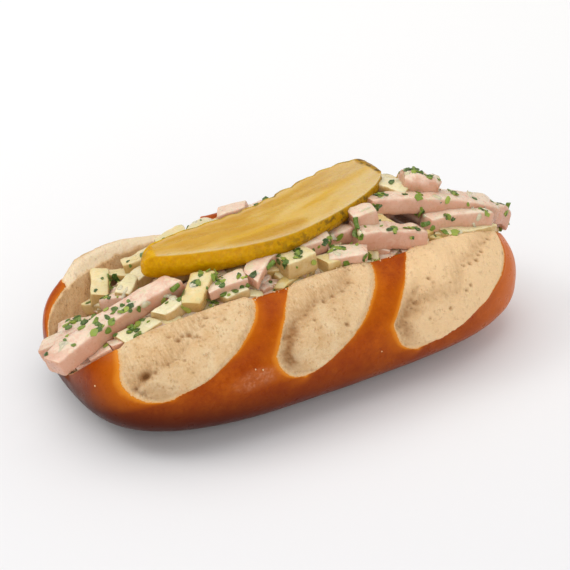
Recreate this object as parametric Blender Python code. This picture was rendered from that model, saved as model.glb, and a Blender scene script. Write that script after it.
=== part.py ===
"""A sausage pretzel sandwich: a pretzel stick cut open along its top, heaped with sausage salad,
and a long slice of pickled gherkin laid on the heap.

Metres, +Z up. +X runs along the bun, -Y is its front side, and the origin is the middle of the flat
spot that the bun rests on.
"""
import math
import random
from collections import namedtuple

import bmesh
import bpy
from mathutils import Euler, Matrix, Vector, noise

# ---------------------------------------------------------------- driving dimensions

# The bun: half its length, half its breadth and the height of its widest line.
BUN_HALF_LENGTH = 0.0875
BUN_HALF_BREADTH = 0.0475
BELLY_HEIGHT = 0.0185
# How high the crown of each half would be if it weren't cut, and how square the bun is.
FRONT_CROWN = 0.0465
BACK_CROWN = 0.0485
PLAN_SQUARENESS = 3.4
SIDE_SQUARENESS = 3.2
SECTION_POWER = 0.73
# The bun has sunk by this much where it rests, which gives it its flat spot.
REST_SINK = 0.0005
# The notch: how far each rim stands from the middle, and how high its bottom lies.
FRONT_RIM = 0.028
BACK_RIM = 0.0355
NOTCH_BOTTOM = 0.012
RIM_TAPER = 0.8
# How much further the room cut for the bun reaches at its rims and at the notch's bottom.
RIM_CLEARANCE_SHARE = 1.2
NOTCH_CLEARANCE_SHARE = 1.4
# Stations along the bun, and points over each half's skin and over each cut face.
BUN_STATIONS = 66
SKIN_STEPS = 18
FACE_STEPS = 4

# How a score's crumb stands: how far it swells out and how wide the rise along its edge is, then how
# deep and how wide it sinks along its lower left edge, and the share of that depth left at the rim.
Relief = namedtuple("Relief", "swell rise pit pit_reach pit_at_rim")
FRONT_RELIEF = Relief(0.0015, 0.0025, 0.0036, 0.012, 0.35)
# A score is a leaf-shaped opening that starts at the rim. Along the rim it runs from left to right;
# its left edge leans down to a corner, turns under to its foot, and sweeps back up to the right.
Score = namedtuple("Score", "left right corner corner_depth foot foot_depth sweep relief")
FRONT_SCORES = (
    Score(-0.0770, -0.0305, -0.0800, 0.009, -0.067, 0.0235, 1.7, FRONT_RELIEF),
    Score(-0.0170, 0.0160, -0.0320, 0.022, -0.022, 0.0325, 1.5, FRONT_RELIEF),
    Score(0.0315, 0.0760, 0.0140, 0.025, 0.024, 0.0370, 1.7, FRONT_RELIEF),
)
# The back half's scores, as they run seen from behind.
BACK_SCORES = (
    Score(-0.0800, -0.0455, -0.0830, 0.009, -0.070, 0.0235, 1.7, Relief(0.0012, 0.003, 0.0030, 0.010, 0.35)),
    Score(-0.0300, 0.0030, -0.0440, 0.022, -0.034, 0.0325, 1.5, Relief(0.0003, 0.003, 0.0030, 0.036, 1.50)),
    Score(0.0160, 0.0740, 0.0030, 0.024, 0.013, 0.0360, 1.6, Relief(0.0024, 0.008, 0.0040, 0.044, 1.70)),
)
PIT_EDGE = 0.002
CUT_UNEVENNESS = 0.0006
UNEVEN_PITCH = 0.014

# The salad's core: its stations, the points over its top, and its ends.
CLEARANCE = 0.00045
CORE_STATIONS = 30
CORE_TOP_STEPS = 9
CORE_LEFT = -0.0845
CORE_RIGHT = 0.0875
CORE_OVERLAP = 0.0015
# Height of the core's crest along the bun, and how round its top is.
CREST = ((-0.0845, 0.0215), (-0.074, 0.029), (-0.060, 0.037), (-0.045, 0.0425), (-0.020, 0.046),
         (0.005, 0.0475), (0.035, 0.0495), (0.052, 0.049), (0.066, 0.0455), (0.080, 0.0375),
         (0.0875, 0.0295))
CREST_POWER = 2.2
# How far up each cut face the salad reaches at the left end, and past the point where it is full.
FRONT_FILL = (0.88, 0.90)
BACK_FILL = (0.50, 0.90)
FULL_FROM = -0.015

# The gherkin slice, laid bent over the heap from its left tip.
GHERKIN_LENGTH = 0.1048
GHERKIN_WIDTH = 0.0275
GHERKIN_THICKNESS = (0.0109, 0.0075)
GHERKIN_START = (-0.0565, 0.0015)
GHERKIN_HEADINGS = (-12.0, 18.5)
GHERKIN_BEND_AT = 0.42
GHERKIN_BEND_LENGTH = 0.12
GHERKIN_TOP = (0.0537, 0.0575)
GHERKIN_THINNING = 2.2
# The cut face's share of the slice's width, and the share of the length that rolls over past it, at
# the left and at the right.
GHERKIN_FACE = (0.80, 0.93)
GHERKIN_ROLL = (0.05, 0.035)
GHERKIN_STATIONS = 34
GHERKIN_FACE_STEPS = 4
GHERKIN_RIND_STEPS = 10
GHERKIN_BLUNTNESS = (2.5, 3.1)
GHERKIN_END_FULLNESS = 0.35
GHERKIN_FLANK_POWER = 0.32
GHERKIN_ROUNDNESS = 0.9
GHERKIN_WIDEST_SHIFT = 1.3
GHERKIN_WAVE = 0.00035
GHERKIN_WAVES = 46.0

MERGE_DISTANCE = 0.00002

CRUST_BROWN = (0.33, 0.085, 0.012)
SALAD_PINK = (0.62, 0.44, 0.33)
GHERKIN_GREEN = (0.55, 0.36, 0.05)


# ---------------------------------------------------------------- shared tools

def clear_scene():
    for thing in list(bpy.data.objects):
        bpy.data.objects.remove(thing, do_unlink=True)


def material(name, colour, roughness):
    made = bpy.data.materials.new(name)
    made.use_nodes = True
    shader = made.node_tree.nodes["Principled BSDF"]
    shader.inputs["Base Color"].default_value = (*colour, 1.0)
    shader.inputs["Roughness"].default_value = roughness
    shader.inputs["Metallic"].default_value = 0.0
    return made


def make_object(name, bm, finish=None):
    mesh = bpy.data.meshes.new(name)
    bm.to_mesh(mesh)
    bm.free()
    if finish:
        mesh.materials.append(finish)
    made = bpy.data.objects.new(name, mesh)
    bpy.context.scene.collection.objects.link(made)
    return made


def between(table, x):
    """The straight-line value at x of a table of (x, value) rows."""
    for (x0, value0), (x1, value1) in zip(table, table[1:]):
        if x <= x1:
            share = max(0.0, (x - x0) / (x1 - x0))
            return value0 + (value1 - value0) * share
    return table[-1][1]


def blend(pair, share):
    """From the first value of a pair at 0 to the second at 1."""
    return pair[0] + (pair[1] - pair[0]) * share


def smooth_step(value):
    value = min(1.0, max(0.0, value))
    return value * value * (3.0 - 2.0 * value)


def skin_over_rings(rings):
    """A closed skin over a row of rings: a grid is wrapped round them and its two ends drawn in."""
    stations = len(rings) - 1
    around = len(rings[0])
    bm = bmesh.new()
    bmesh.ops.create_grid(bm, x_segments=stations, y_segments=around, size=0.5)
    for vert in bm.verts:
        station = round((vert.co.x + 0.5) * stations)
        step = round((vert.co.y + 0.5) * around) % around
        vert.co = rings[station][step]
    bmesh.ops.remove_doubles(bm, verts=bm.verts, dist=MERGE_DISTANCE)
    bmesh.ops.recalc_face_normals(bm, faces=bm.faces)
    return bm


def station_shares(count):
    """Stations from -1 to 1 that crowd towards the ends, where the shape turns in."""
    return [math.sin((i / count - 0.5) * math.pi) for i in range(count + 1)]


# ---------------------------------------------------------------- bun

def fullness(share, power):
    """How much of the middle's size is left at a station, 1 in the middle and 0 at the tips."""
    return max(0.0, 1.0 - abs(share) ** power) ** (1.0 / power)


def rim_reach(share, side):
    rim = FRONT_RIM if side < 0 else BACK_RIM
    return rim * fullness(share, PLAN_SQUARENESS) ** RIM_TAPER


def notch_height(share):
    rise = fullness(share, SIDE_SQUARENESS)
    return BELLY_HEIGHT + (NOTCH_BOTTOM - BELLY_HEIGHT) * rise


def half_skin(share, side, grow=0.0):
    """Points of one half's skin at a station, from its rim down to the middle of the underside."""
    breadth = (BUN_HALF_BREADTH + grow) * fullness(share, PLAN_SQUARENESS)
    rise = fullness(share, SIDE_SQUARENESS)
    crown = (FRONT_CROWN if side < 0 else BACK_CROWN) + grow - BELLY_HEIGHT
    rim = min(breadth, max(0.0, rim_reach(share, side) - RIM_CLEARANCE_SHARE * grow))
    rim_angle = math.acos((rim / breadth) ** (1.0 / SECTION_POWER)) if breadth > 0.0 else 0.0
    points = []
    for step in range(SKIN_STEPS + 1):
        angle = rim_angle - (rim_angle + math.pi / 2) * step / SKIN_STEPS
        across = breadth * max(0.0, math.cos(angle)) ** SECTION_POWER
        lift = abs(math.sin(angle)) ** SECTION_POWER
        height = BELLY_HEIGHT + (crown * lift if angle > 0.0 else -BELLY_HEIGHT * lift) * rise
        points.append(Vector((share * (BUN_HALF_LENGTH + grow), side * across, height)))
    return points


def score_inset(score, x, depth):
    """How far inside a score a point of the skin lies, and how far right of the score's left edge."""
    if depth >= score.foot_depth:
        return score.foot_depth - depth, 0.0
    if depth < score.corner_depth:
        left = score.left + (score.corner - score.left) * depth / score.corner_depth
    else:
        turn = (depth - score.corner_depth) / (score.foot_depth - score.corner_depth)
        left = score.corner + (score.foot - score.corner) * (1.0 - math.sqrt(1.0 - turn * turn))
    fall = (depth / score.foot_depth) ** score.sweep
    right = score.foot + (score.right - score.foot) * (1.0 - fall) ** (1.0 / score.sweep)
    return min(x - left, right - x, score.foot_depth - depth), x - left


def score_relief(x, depth, side):
    """How far the skin stands out at a point, from the scores' swollen crumb and sunken corners."""
    relief = 0.0
    for score in FRONT_SCORES if side < 0 else BACK_SCORES:
        inset, from_left = score_inset(score, -side * x, depth)
        if inset <= 0.0:
            continue
        form = score.relief
        near_left = smooth_step(1.0 - from_left / form.pit_reach) * smooth_step(inset / PIT_EDGE)
        low = smooth_step(depth / score.foot_depth)
        sunk = form.pit * near_left * (form.pit_at_rim + (1.0 - form.pit_at_rim) * low)
        relief = form.swell * smooth_step(inset / form.rise) - sunk
    return relief


def with_scores(points, side):
    """The skin's points, moved in or out by the scores' relief."""
    moved = []
    depth = 0.0
    for i, point in enumerate(points):
        before = points[max(0, i - 1)]
        after = points[min(len(points) - 1, i + 1)]
        if i:
            depth += (point - before).length
        run = after - before
        outward = Vector((0.0, -run.z, run.y)) * side
        if outward.length > 0.0:
            outward.normalize()
        moved.append(point + outward * score_relief(point.x, depth, side))
    return moved


def cut_face(rim, bottom, side):
    """Points down one cut face between its rim and the bottom of the notch, with its unevenness."""
    points = []
    for step in range(1, FACE_STEPS):
        share = step / FACE_STEPS
        point = rim.lerp(bottom, share)
        wave = noise.noise(Vector((point.x, side, point.z)) / UNEVEN_PITCH)
        fade = min(1.0, rim.y * side / FRONT_RIM)
        point.y += side * CUT_UNEVENNESS * wave * fade
        points.append(point)
    return points


def bun_ring(share, grow=0.0):
    """The bun's section at a station: down the front skin, up the back skin, and down and up the notch."""
    front = with_scores(half_skin(share, -1, grow), -1)
    back = with_scores(half_skin(share, 1, grow), 1)
    bottom = Vector((front[0].x, 0.0, notch_height(share) + NOTCH_CLEARANCE_SHARE * grow))
    ring = front + back[-2::-1]
    ring += cut_face(back[0], bottom, 1) + [bottom] + cut_face(front[0], bottom, -1)[::-1]
    for point in ring:
        point.z = max(point.z, REST_SINK - grow) - REST_SINK
    return ring


def build_bun(crust):
    rings = [bun_ring(share) for share in station_shares(BUN_STATIONS)]
    bun = make_object("bun", skin_over_rings(rings), crust)
    bun.data.shade_smooth()
    bun.data.set_sharp_from_angle(angle=math.radians(45.0))
    return bun


# ---------------------------------------------------------------- salad

def contact(x, side):
    """Where the salad's top meets a cut face."""
    share = max(-1.0, min(1.0, x / BUN_HALF_LENGTH))
    rim = half_skin(share, side)[0]
    way = smooth_step((x - CORE_LEFT) / (FULL_FROM - CORE_LEFT))
    reach = blend(FRONT_FILL if side < 0 else BACK_FILL, way)
    bottom = Vector((x, 0.0, notch_height(share)))
    return bottom.lerp(rim, reach)


def heap_top(x, y):
    """Height of the salad core's top."""
    front = contact(x, -1)
    back = contact(x, 1)
    share = (y - front.y) / max(back.y - front.y, 1e-6)
    edge = front.z + (back.z - front.z) * min(1.0, max(0.0, share))
    round_off = max(0.0, 1.0 - abs(2.0 * share - 1.0) ** CREST_POWER)
    return edge + (between(CREST, x) - edge) * round_off


def core_ring(x):
    front = contact(x, -1)
    back = contact(x, 1)
    share = max(-1.0, min(1.0, x / BUN_HALF_LENGTH))
    ring = [Vector((x, 0.0, notch_height(share) - CORE_OVERLAP))]
    for step in range(CORE_TOP_STEPS + 1):
        y = front.y + (back.y - front.y) * step / CORE_TOP_STEPS
        ring.append(Vector((x, y, heap_top(x, y))))
    ring[1].y -= CORE_OVERLAP
    ring[-1].y += CORE_OVERLAP
    return ring


def build_core():
    rings = []
    for share in station_shares(CORE_STATIONS):
        x = CORE_LEFT + (CORE_RIGHT - CORE_LEFT) * (share + 1.0) / 2
        rings.append(core_ring(x))
    for end in (0, -1):
        middle = sum(rings[end], Vector()) / len(rings[end])
        rings[end] = [middle] * len(rings[end])
    return make_object("salad core", skin_over_rings(rings))


# Bars of sausage and of cheese or egg: where each starts and ends, how wide and thick it is, and how
# far its middle bows up.
Bar = namedtuple("Bar", "kind start end width thickness bow")
BARS = (
    Bar("sausage", (-0.0950, -0.0118, 0.0292), (-0.0497, -0.0104, 0.0458), 0.0080, 0.0066, 0.0006),
    Bar("sausage", (-0.0905, 0.0085, 0.0230), (-0.0740, -0.0010, 0.0290), 0.0078, 0.0070, 0.0000),
    Bar("sausage", (-0.0825, 0.0120, 0.0240), (-0.0690, 0.0020, 0.0305), 0.0078, 0.0072, 0.0000),
    Bar("cheese", (-0.0605, 0.0275, 0.0340), (-0.0675, 0.0125, 0.0330), 0.0066, 0.0062, 0.0000),
    Bar("cheese", (-0.0600, 0.0280, 0.0340), (-0.0510, 0.0140, 0.0380), 0.0055, 0.0028, 0.0000),
    Bar("cheese", (-0.0690, 0.0210, 0.0270), (-0.0630, 0.0110, 0.0310), 0.0078, 0.0055, 0.0000),
    Bar("cheese", (-0.0545, 0.0205, 0.0385), (-0.0465, 0.0145, 0.0415), 0.0072, 0.0064, 0.0000),
    Bar("cheese", (-0.0570, 0.0080, 0.0415), (-0.0638, 0.0015, 0.0390), 0.0056, 0.0034, 0.0010),
    Bar("sausage", (-0.0670, 0.0100, 0.0330), (-0.0615, 0.0010, 0.0380), 0.0058, 0.0054, 0.0000),
    Bar("cheese", (-0.0605, -0.0190, 0.0400), (-0.0520, -0.0175, 0.0425), 0.0062, 0.0054, 0.0000),
    Bar("cheese", (-0.0650, -0.0170, 0.0370), (-0.0540, -0.0215, 0.0395), 0.0072, 0.0032, 0.0000),
    Bar("cheese", (-0.0740, -0.0185, 0.0342), (-0.0610, -0.0190, 0.0382), 0.0074, 0.0054, 0.0000),
    Bar("cheese", (-0.0405, -0.0135, 0.0465), (-0.0505, -0.0222, 0.0425), 0.0078, 0.0066, 0.0000),
    Bar("sausage", (-0.0430, -0.0200, 0.0445), (-0.0290, -0.0205, 0.0465), 0.0060, 0.0042, 0.0000),
    Bar("cheese", (-0.0395, -0.0225, 0.0425), (-0.0310, -0.0230, 0.0435), 0.0050, 0.0036, 0.0000),
    Bar("sausage", (-0.0140, -0.0130, 0.0490), (-0.0280, -0.0220, 0.0460), 0.0076, 0.0038, 0.0010),
    Bar("cheese", (-0.0150, -0.0210, 0.0465), (-0.0040, -0.0210, 0.0475), 0.0080, 0.0072, 0.0000),
    Bar("cheese", (-0.0010, -0.0235, 0.0445), (0.0075, -0.0240, 0.0450), 0.0066, 0.0046, 0.0000),
    Bar("sausage", (-0.0100, -0.0140, 0.0475), (0.0070, -0.0150, 0.0490), 0.0076, 0.0056, 0.0000),
    Bar("sausage", (0.0030, -0.0215, 0.0460), (0.0165, -0.0255, 0.0455), 0.0084, 0.0036, 0.0005),
    Bar("sausage", (0.0180, -0.0130, 0.0515), (0.0265, -0.0150, 0.0535), 0.0078, 0.0078, 0.0000),
    Bar("sausage", (0.0165, -0.0165, 0.0478), (0.0405, -0.0245, 0.0448), 0.0088, 0.0078, 0.0005),
    Bar("sausage", (0.0300, -0.0065, 0.0500), (0.0800, -0.0150, 0.0412), 0.0090, 0.0076, 0.0044),
    Bar("sausage", (0.0745, -0.0165, 0.0410), (0.0895, -0.0115, 0.0325), 0.0086, 0.0076, 0.0020),
    Bar("sausage", (0.0465, -0.0190, 0.0460), (0.0730, -0.0205, 0.0420), 0.0072, 0.0066, 0.0005),
    Bar("cheese", (0.0500, -0.0225, 0.0425), (0.0750, -0.0220, 0.0385), 0.0062, 0.0032, 0.0000),
    Bar("sausage", (0.0462, -0.0030, 0.0565), (0.0585, -0.0095, 0.0535), 0.0086, 0.0076, 0.0010),
    Bar("cheese", (0.0410, 0.0040, 0.0535), (0.0480, -0.0070, 0.0530), 0.0090, 0.0054, 0.0000),
    Bar("sausage", (-0.0130, 0.0255, 0.0445), (-0.0040, 0.0210, 0.0480), 0.0070, 0.0062, 0.0000),
    Bar("cheese", (-0.0410, 0.0205, 0.0430), (-0.0300, 0.0190, 0.0455), 0.0078, 0.0054, 0.0000),
)
# The rest of the heap's bars lie in rows along it, by a seeded draw.
ROW_SEED = 11
ROWS_ACROSS = (-0.012, 0.000, 0.011, 0.022)
ROW_PITCH = 0.0175
ROW_RANGE = (-0.052, 0.078)
ROW_SPACING = (0.8, 1.2)
ROW_END_GAP = 0.006
ROW_HEADING = 0.9
ROW_LIFT = (-0.0005, 0.0015)
ROW_WIDTH = (0.0060, 0.0085)
ROW_FLATNESS = (0.6, 0.9)
SAUSAGE_SHARE = 0.62
SAUSAGE_HALF_LENGTH = (0.007, 0.013)
CHEESE_HALF_LENGTH = (0.005, 0.008)
BAR_SEGMENT_LENGTH = 0.014
BAR_JITTER = 0.00035
# Flakes of chopped parsley and chive stuck to the bars.
FLAKE_SEED = 5
FLAKES_PER_BAR = 0.9
FLAKE_RADIUS = (0.0011, 0.0024)
FLAKE_THICKNESS = 0.0007
FLAKE_SIDES = 5
FLAKE_WIDTH_SHARE = (0.5, 0.9)
FLAKE_TILT = (-0.2, 0.2)
FLAKE_ALONG = (-0.42, 0.42)
FLAKE_OVER_TOP = (-0.35, 0.35)
FLAKE_DOWN_SIDE = (-0.2, 0.35)
FLAKES_ON_TOP = 0.6
FRONT_AND_UP = Vector((-0.35, -0.6, 0.7))


def row_bars():
    """Bars that fill the heap in rows, each laid on the core at a drawn angle."""
    draw = random.Random(ROW_SEED)
    bars = []
    for y in ROWS_ACROSS:
        x = ROW_RANGE[0] + ROW_PITCH * draw.random()
        while x < ROW_RANGE[1]:
            kind = "sausage" if draw.random() < SAUSAGE_SHARE else "cheese"
            half = draw.uniform(*(CHEESE_HALF_LENGTH if kind == "cheese" else SAUSAGE_HALF_LENGTH))
            heading = draw.uniform(-ROW_HEADING, ROW_HEADING)
            run = Vector((math.cos(heading), math.sin(heading)))
            ends = []
            for way in (-1, 1):
                end_x = max(CORE_LEFT + ROW_END_GAP, min(CORE_RIGHT - ROW_END_GAP, x + way * half * run.x))
                end_y = y + way * half * run.y
                ends.append((end_x, end_y, heap_top(end_x, end_y) + draw.uniform(*ROW_LIFT)))
            width = draw.uniform(*ROW_WIDTH)
            bars.append(Bar(kind, ends[0], ends[1], width, width * draw.uniform(*ROW_FLATNESS), 0.0))
            x += ROW_PITCH * draw.uniform(*ROW_SPACING)
    return bars


def bar_frame(bar):
    """The bar's own frame: its middle, its length along X and its top towards +Z."""
    start = Vector(bar.start)
    end = Vector(bar.end)
    along = (end - start).normalized()
    across = Vector((0.0, 0.0, 1.0)).cross(along).normalized()
    up = along.cross(across)
    turn = Matrix((along, across, up)).transposed().to_4x4()
    return Matrix.Translation((start + end) / 2) @ turn, (end - start).length


def bowed(bar, share):
    return bar.bow * (1.0 - 4.0 * share * share)


def build_bar(bar, draw):
    """A cut bar, a little uneven, with its middle bowed."""
    frame, length = bar_frame(bar)
    bm = bmesh.new()
    bmesh.ops.create_cube(bm, size=1.0)
    lengthwise = [edge for edge in bm.edges if abs(edge.verts[0].co.x - edge.verts[1].co.x) > 0.5]
    cuts = round(length / BAR_SEGMENT_LENGTH) - 1
    if cuts > 0:
        bmesh.ops.subdivide_edges(bm, edges=lengthwise, cuts=cuts)
    for vert in bm.verts:
        share = vert.co.x
        vert.co = (vert.co.x * length, vert.co.y * bar.width, vert.co.z * bar.thickness)
        vert.co.z += bowed(bar, share)
        vert.co += Vector([draw.uniform(-BAR_JITTER, BAR_JITTER) for _ in range(3)])
    bmesh.ops.transform(bm, matrix=frame, verts=bm.verts)
    return make_object("salad bar", bm)


def build_flake(bar, draw):
    """A flake of herb on the bar's top or on its front."""
    frame, length = bar_frame(bar)
    share = draw.uniform(*FLAKE_ALONG)
    front = frame.to_3x3().inverted() @ FRONT_AND_UP
    if draw.random() < FLAKES_ON_TOP:
        place = Vector((share * length, draw.uniform(*FLAKE_OVER_TOP) * bar.width, bar.thickness / 2))
        lean = Matrix.Identity(4)
    else:
        side = math.copysign(1.0, front.y)
        place = Vector((share * length, side * bar.width / 2, draw.uniform(*FLAKE_DOWN_SIDE) * bar.thickness))
        lean = Matrix.Rotation(-side * math.pi / 2, 4, "X")
    place.z += bowed(bar, share)
    radius = draw.uniform(*FLAKE_RADIUS)
    bm = bmesh.new()
    bmesh.ops.create_cone(bm, cap_ends=True, segments=FLAKE_SIDES, radius1=radius, radius2=radius,
                          depth=FLAKE_THICKNESS)
    bmesh.ops.scale(bm, vec=(1.0, draw.uniform(*FLAKE_WIDTH_SHARE), 1.0), verts=bm.verts)
    spin = Matrix.Rotation(draw.uniform(0.0, math.pi), 4, "Z")
    tip = Euler((draw.uniform(*FLAKE_TILT), draw.uniform(*FLAKE_TILT), 0.0)).to_matrix().to_4x4()
    matrix = frame @ Matrix.Translation(place) @ lean @ tip @ spin
    bmesh.ops.transform(bm, matrix=matrix, verts=bm.verts)
    return make_object("herb flake", bm)


def apply_modifiers(thing):
    depsgraph = bpy.context.evaluated_depsgraph_get()
    mesh = bpy.data.meshes.new_from_object(thing.evaluated_get(depsgraph))
    thing.modifiers.clear()
    thing.data = mesh


def cut_with(thing, cutter):
    cut = thing.modifiers.new("cut", "BOOLEAN")
    cut.operation = "DIFFERENCE"
    cut.object = cutter
    cut.solver = "MANIFOLD"
    apply_modifiers(thing)
    bpy.data.objects.remove(cutter, do_unlink=True)


def keep_largest_body(thing):
    """Drop the scraps and the shells of sealed hollows that joining and cutting leave."""
    bm = bmesh.new()
    bm.from_mesh(thing.data)
    unseen = set(bm.verts)
    bodies = []
    while unseen:
        front = [unseen.pop()]
        body = set(front)
        while front:
            for edge in front.pop().link_edges:
                for vert in edge.verts:
                    if vert in unseen:
                        unseen.discard(vert)
                        body.add(vert)
                        front.append(vert)
        bodies.append(body)
    largest = max(bodies, key=len)
    scraps = [vert for vert in bm.verts if vert not in largest]
    bmesh.ops.delete(bm, geom=scraps, context="VERTS")
    bm.to_mesh(thing.data)
    bm.free()


def build_salad(finish):
    salad = build_core()
    salad.name = "sausage_salad"
    heap = bpy.data.collections.new("salad pieces")
    draw = random.Random(FLAKE_SEED)
    owed = 0.0
    for bar in list(BARS) + row_bars():
        heap.objects.link(build_bar(bar, draw))
        owed += FLAKES_PER_BAR
        while owed >= 1.0:
            heap.objects.link(build_flake(bar, draw))
            owed -= 1.0
    join = salad.modifiers.new("join", "BOOLEAN")
    join.operation = "UNION"
    join.operand_type = "COLLECTION"
    join.collection = heap
    join.solver = "MANIFOLD"
    apply_modifiers(salad)
    for piece in list(heap.objects):
        bpy.data.objects.remove(piece, do_unlink=True)
    bpy.data.collections.remove(heap)
    rings = [bun_ring(share, CLEARANCE) for share in station_shares(BUN_STATIONS)]
    cut_with(salad, make_object("room for the bun", skin_over_rings(rings)))
    cut_with(salad, make_object("room for the gherkin", skin_over_rings(gherkin_rings(CLEARANCE))))
    keep_largest_body(salad)
    salad.data.materials.clear()
    salad.data.materials.append(finish)
    return salad


# ---------------------------------------------------------------- gherkin

def gherkin_section(middle, side, half, top, bottom, face):
    """A ring of the slice: over its cut face, then round its rind, whose top edge is drawn in."""
    ring = []
    for step in range(GHERKIN_FACE_STEPS):
        across = half * face * (2.0 * step / GHERKIN_FACE_STEPS - 1.0)
        ring.append(middle + side * across + Vector((0.0, 0.0, top)))
    for step in range(GHERKIN_RIND_STEPS):
        angle = math.pi * step / GHERKIN_RIND_STEPS
        flank = math.copysign(abs(math.cos(angle)) ** GHERKIN_FLANK_POWER, math.cos(angle))
        under = math.sin(angle) ** GHERKIN_ROUNDNESS
        across = half * flank * blend((face, 1.0), smooth_step(2.0 * under))
        ring.append(middle + side * across + Vector((0.0, 0.0, top - (top - bottom) * under)))
    return ring


def gherkin_rings(grow=0.0):
    """Rings round the slice along its bent middle line."""
    rings = []
    point = Vector((*GHERKIN_START, 0.0))
    travelled = 0.0
    for station in station_shares(GHERKIN_STATIONS):
        share = (station + 1.0) / 2
        turn = math.tanh((share - GHERKIN_BEND_AT) / GHERKIN_BEND_LENGTH)
        heading = math.radians(blend(GHERKIN_HEADINGS, (turn + 1.0) / 2))
        run = Vector((math.cos(heading), math.sin(heading), 0.0))
        side = Vector((-run.y, run.x, 0.0))
        point = point + run * (share * GHERKIN_LENGTH - travelled)
        travelled = share * GHERKIN_LENGTH
        fill = fullness(2.0 * share ** GHERKIN_WIDEST_SHIFT - 1.0, blend(GHERKIN_BLUNTNESS, share))
        wave = GHERKIN_WAVE * math.sin(share * GHERKIN_WAVES) * fill
        half = (GHERKIN_WIDTH / 2 + grow) * fill + wave
        thinned = 1.0 - (1.0 - share) ** GHERKIN_THINNING
        thickness = blend(GHERKIN_THICKNESS, thinned)
        rolled = max(0.0, 1.0 - share / GHERKIN_ROLL[0], 1.0 - (1.0 - share) / GHERKIN_ROLL[1])
        height = blend(GHERKIN_TOP, thinned) - thickness / 2
        top = height + (thickness / 2 + grow) * math.sqrt(1.0 - rolled * rolled)
        bottom = height - (thickness / 2 + grow) * fill ** GHERKIN_END_FULLNESS
        middle = point + run * (station * grow)
        rings.append(gherkin_section(middle, side, half, top, bottom, blend(GHERKIN_FACE, thinned)))
    return rings


def build_gherkin(finish):
    gherkin = make_object("gherkin_slice", skin_over_rings(gherkin_rings()), finish)
    gherkin.data.shade_smooth()
    gherkin.data.set_sharp_from_angle(angle=math.radians(40.0))
    return gherkin


def main():
    clear_scene()
    build_bun(material("pretzel crust", CRUST_BROWN, 0.35))
    build_salad(material("dressed salad", SALAD_PINK, 0.45))
    build_gherkin(material("pickled gherkin", GHERKIN_GREEN, 0.3))


main()
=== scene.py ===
"""The looks of a sausage pretzel sandwich: a scored pretzel bun cut open, sausage salad, and a gherkin slice.

Metres, +Z up. +X runs along the bun and -Y is its front side.
"""
import math
import random
from collections import namedtuple

import bmesh
import bpy
import numpy as np
from mathutils import Matrix, Vector, noise
from mathutils.bvhtree import BVHTree


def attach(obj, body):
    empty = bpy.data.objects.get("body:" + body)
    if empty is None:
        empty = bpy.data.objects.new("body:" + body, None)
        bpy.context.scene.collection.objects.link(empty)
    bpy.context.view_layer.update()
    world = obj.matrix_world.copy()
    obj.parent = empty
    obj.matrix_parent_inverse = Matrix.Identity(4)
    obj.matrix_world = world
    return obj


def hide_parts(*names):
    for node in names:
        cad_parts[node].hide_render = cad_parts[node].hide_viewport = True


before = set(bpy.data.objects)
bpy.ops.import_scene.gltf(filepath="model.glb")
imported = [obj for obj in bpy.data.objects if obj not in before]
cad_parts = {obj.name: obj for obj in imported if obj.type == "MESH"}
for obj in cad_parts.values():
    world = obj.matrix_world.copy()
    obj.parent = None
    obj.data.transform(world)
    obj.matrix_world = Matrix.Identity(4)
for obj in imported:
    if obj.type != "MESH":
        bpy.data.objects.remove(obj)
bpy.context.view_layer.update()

MM = 0.001

# ---------------------------------------------------------------- sizes
# The bun and the salad's core have the sizes of their solids. The gherkin slice is 1.6 mm longer than its
# solid, and its two long sides are rounded apart from each other.

BUN_HALF_LENGTH = 0.0875
BUN_HALF_BREADTH = 0.0475
BELLY_HEIGHT = 0.0185
FRONT_CROWN = 0.0465
BACK_CROWN = 0.0485
PLAN_SQUARENESS = 3.4
SIDE_SQUARENESS = 3.2
SECTION_POWER = 0.73
REST_SINK = 0.0005
FRONT_RIM = 0.028
BACK_RIM = 0.0355
NOTCH_BOTTOM = 0.012
RIM_TAPER = 0.8

Relief = namedtuple("Relief", "swell rise pit pit_reach pit_at_rim")
FRONT_RELIEF = Relief(0.0015, 0.0025, 0.0036, 0.012, 0.35)
Score = namedtuple("Score", "left right corner corner_depth foot foot_depth sweep relief")
FRONT_SCORES = (
    Score(-0.0770, -0.0305, -0.0800, 0.009, -0.067, 0.0235, 1.7, FRONT_RELIEF),
    Score(-0.0170, 0.0160, -0.0320, 0.022, -0.022, 0.0325, 1.5, FRONT_RELIEF),
    Score(0.0315, 0.0760, 0.0140, 0.025, 0.024, 0.0370, 1.7, FRONT_RELIEF),
)
BACK_SCORES = (
    Score(-0.0800, -0.0455, -0.0830, 0.009, -0.070, 0.0235, 1.7, Relief(0.0012, 0.003, 0.0030, 0.010, 0.35)),
    Score(-0.0300, 0.0030, -0.0440, 0.022, -0.034, 0.0325, 1.5, Relief(0.0003, 0.003, 0.0030, 0.036, 1.50)),
    Score(0.0160, 0.0740, 0.0030, 0.024, 0.013, 0.0360, 1.6, Relief(0.0024, 0.008, 0.0040, 0.044, 1.70)),
)

CORE_LEFT = -0.0845
CORE_RIGHT = 0.0875
CREST = ((-0.0845, 0.0215), (-0.074, 0.029), (-0.060, 0.037), (-0.045, 0.0425), (-0.020, 0.046),
         (0.005, 0.0475), (0.035, 0.0495), (0.052, 0.049), (0.066, 0.0455), (0.080, 0.0375),
         (0.0875, 0.0295))
CREST_POWER = 2.2
FRONT_FILL = (0.88, 0.90)
BACK_FILL = (0.50, 0.90)
FULL_FROM = -0.015

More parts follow.
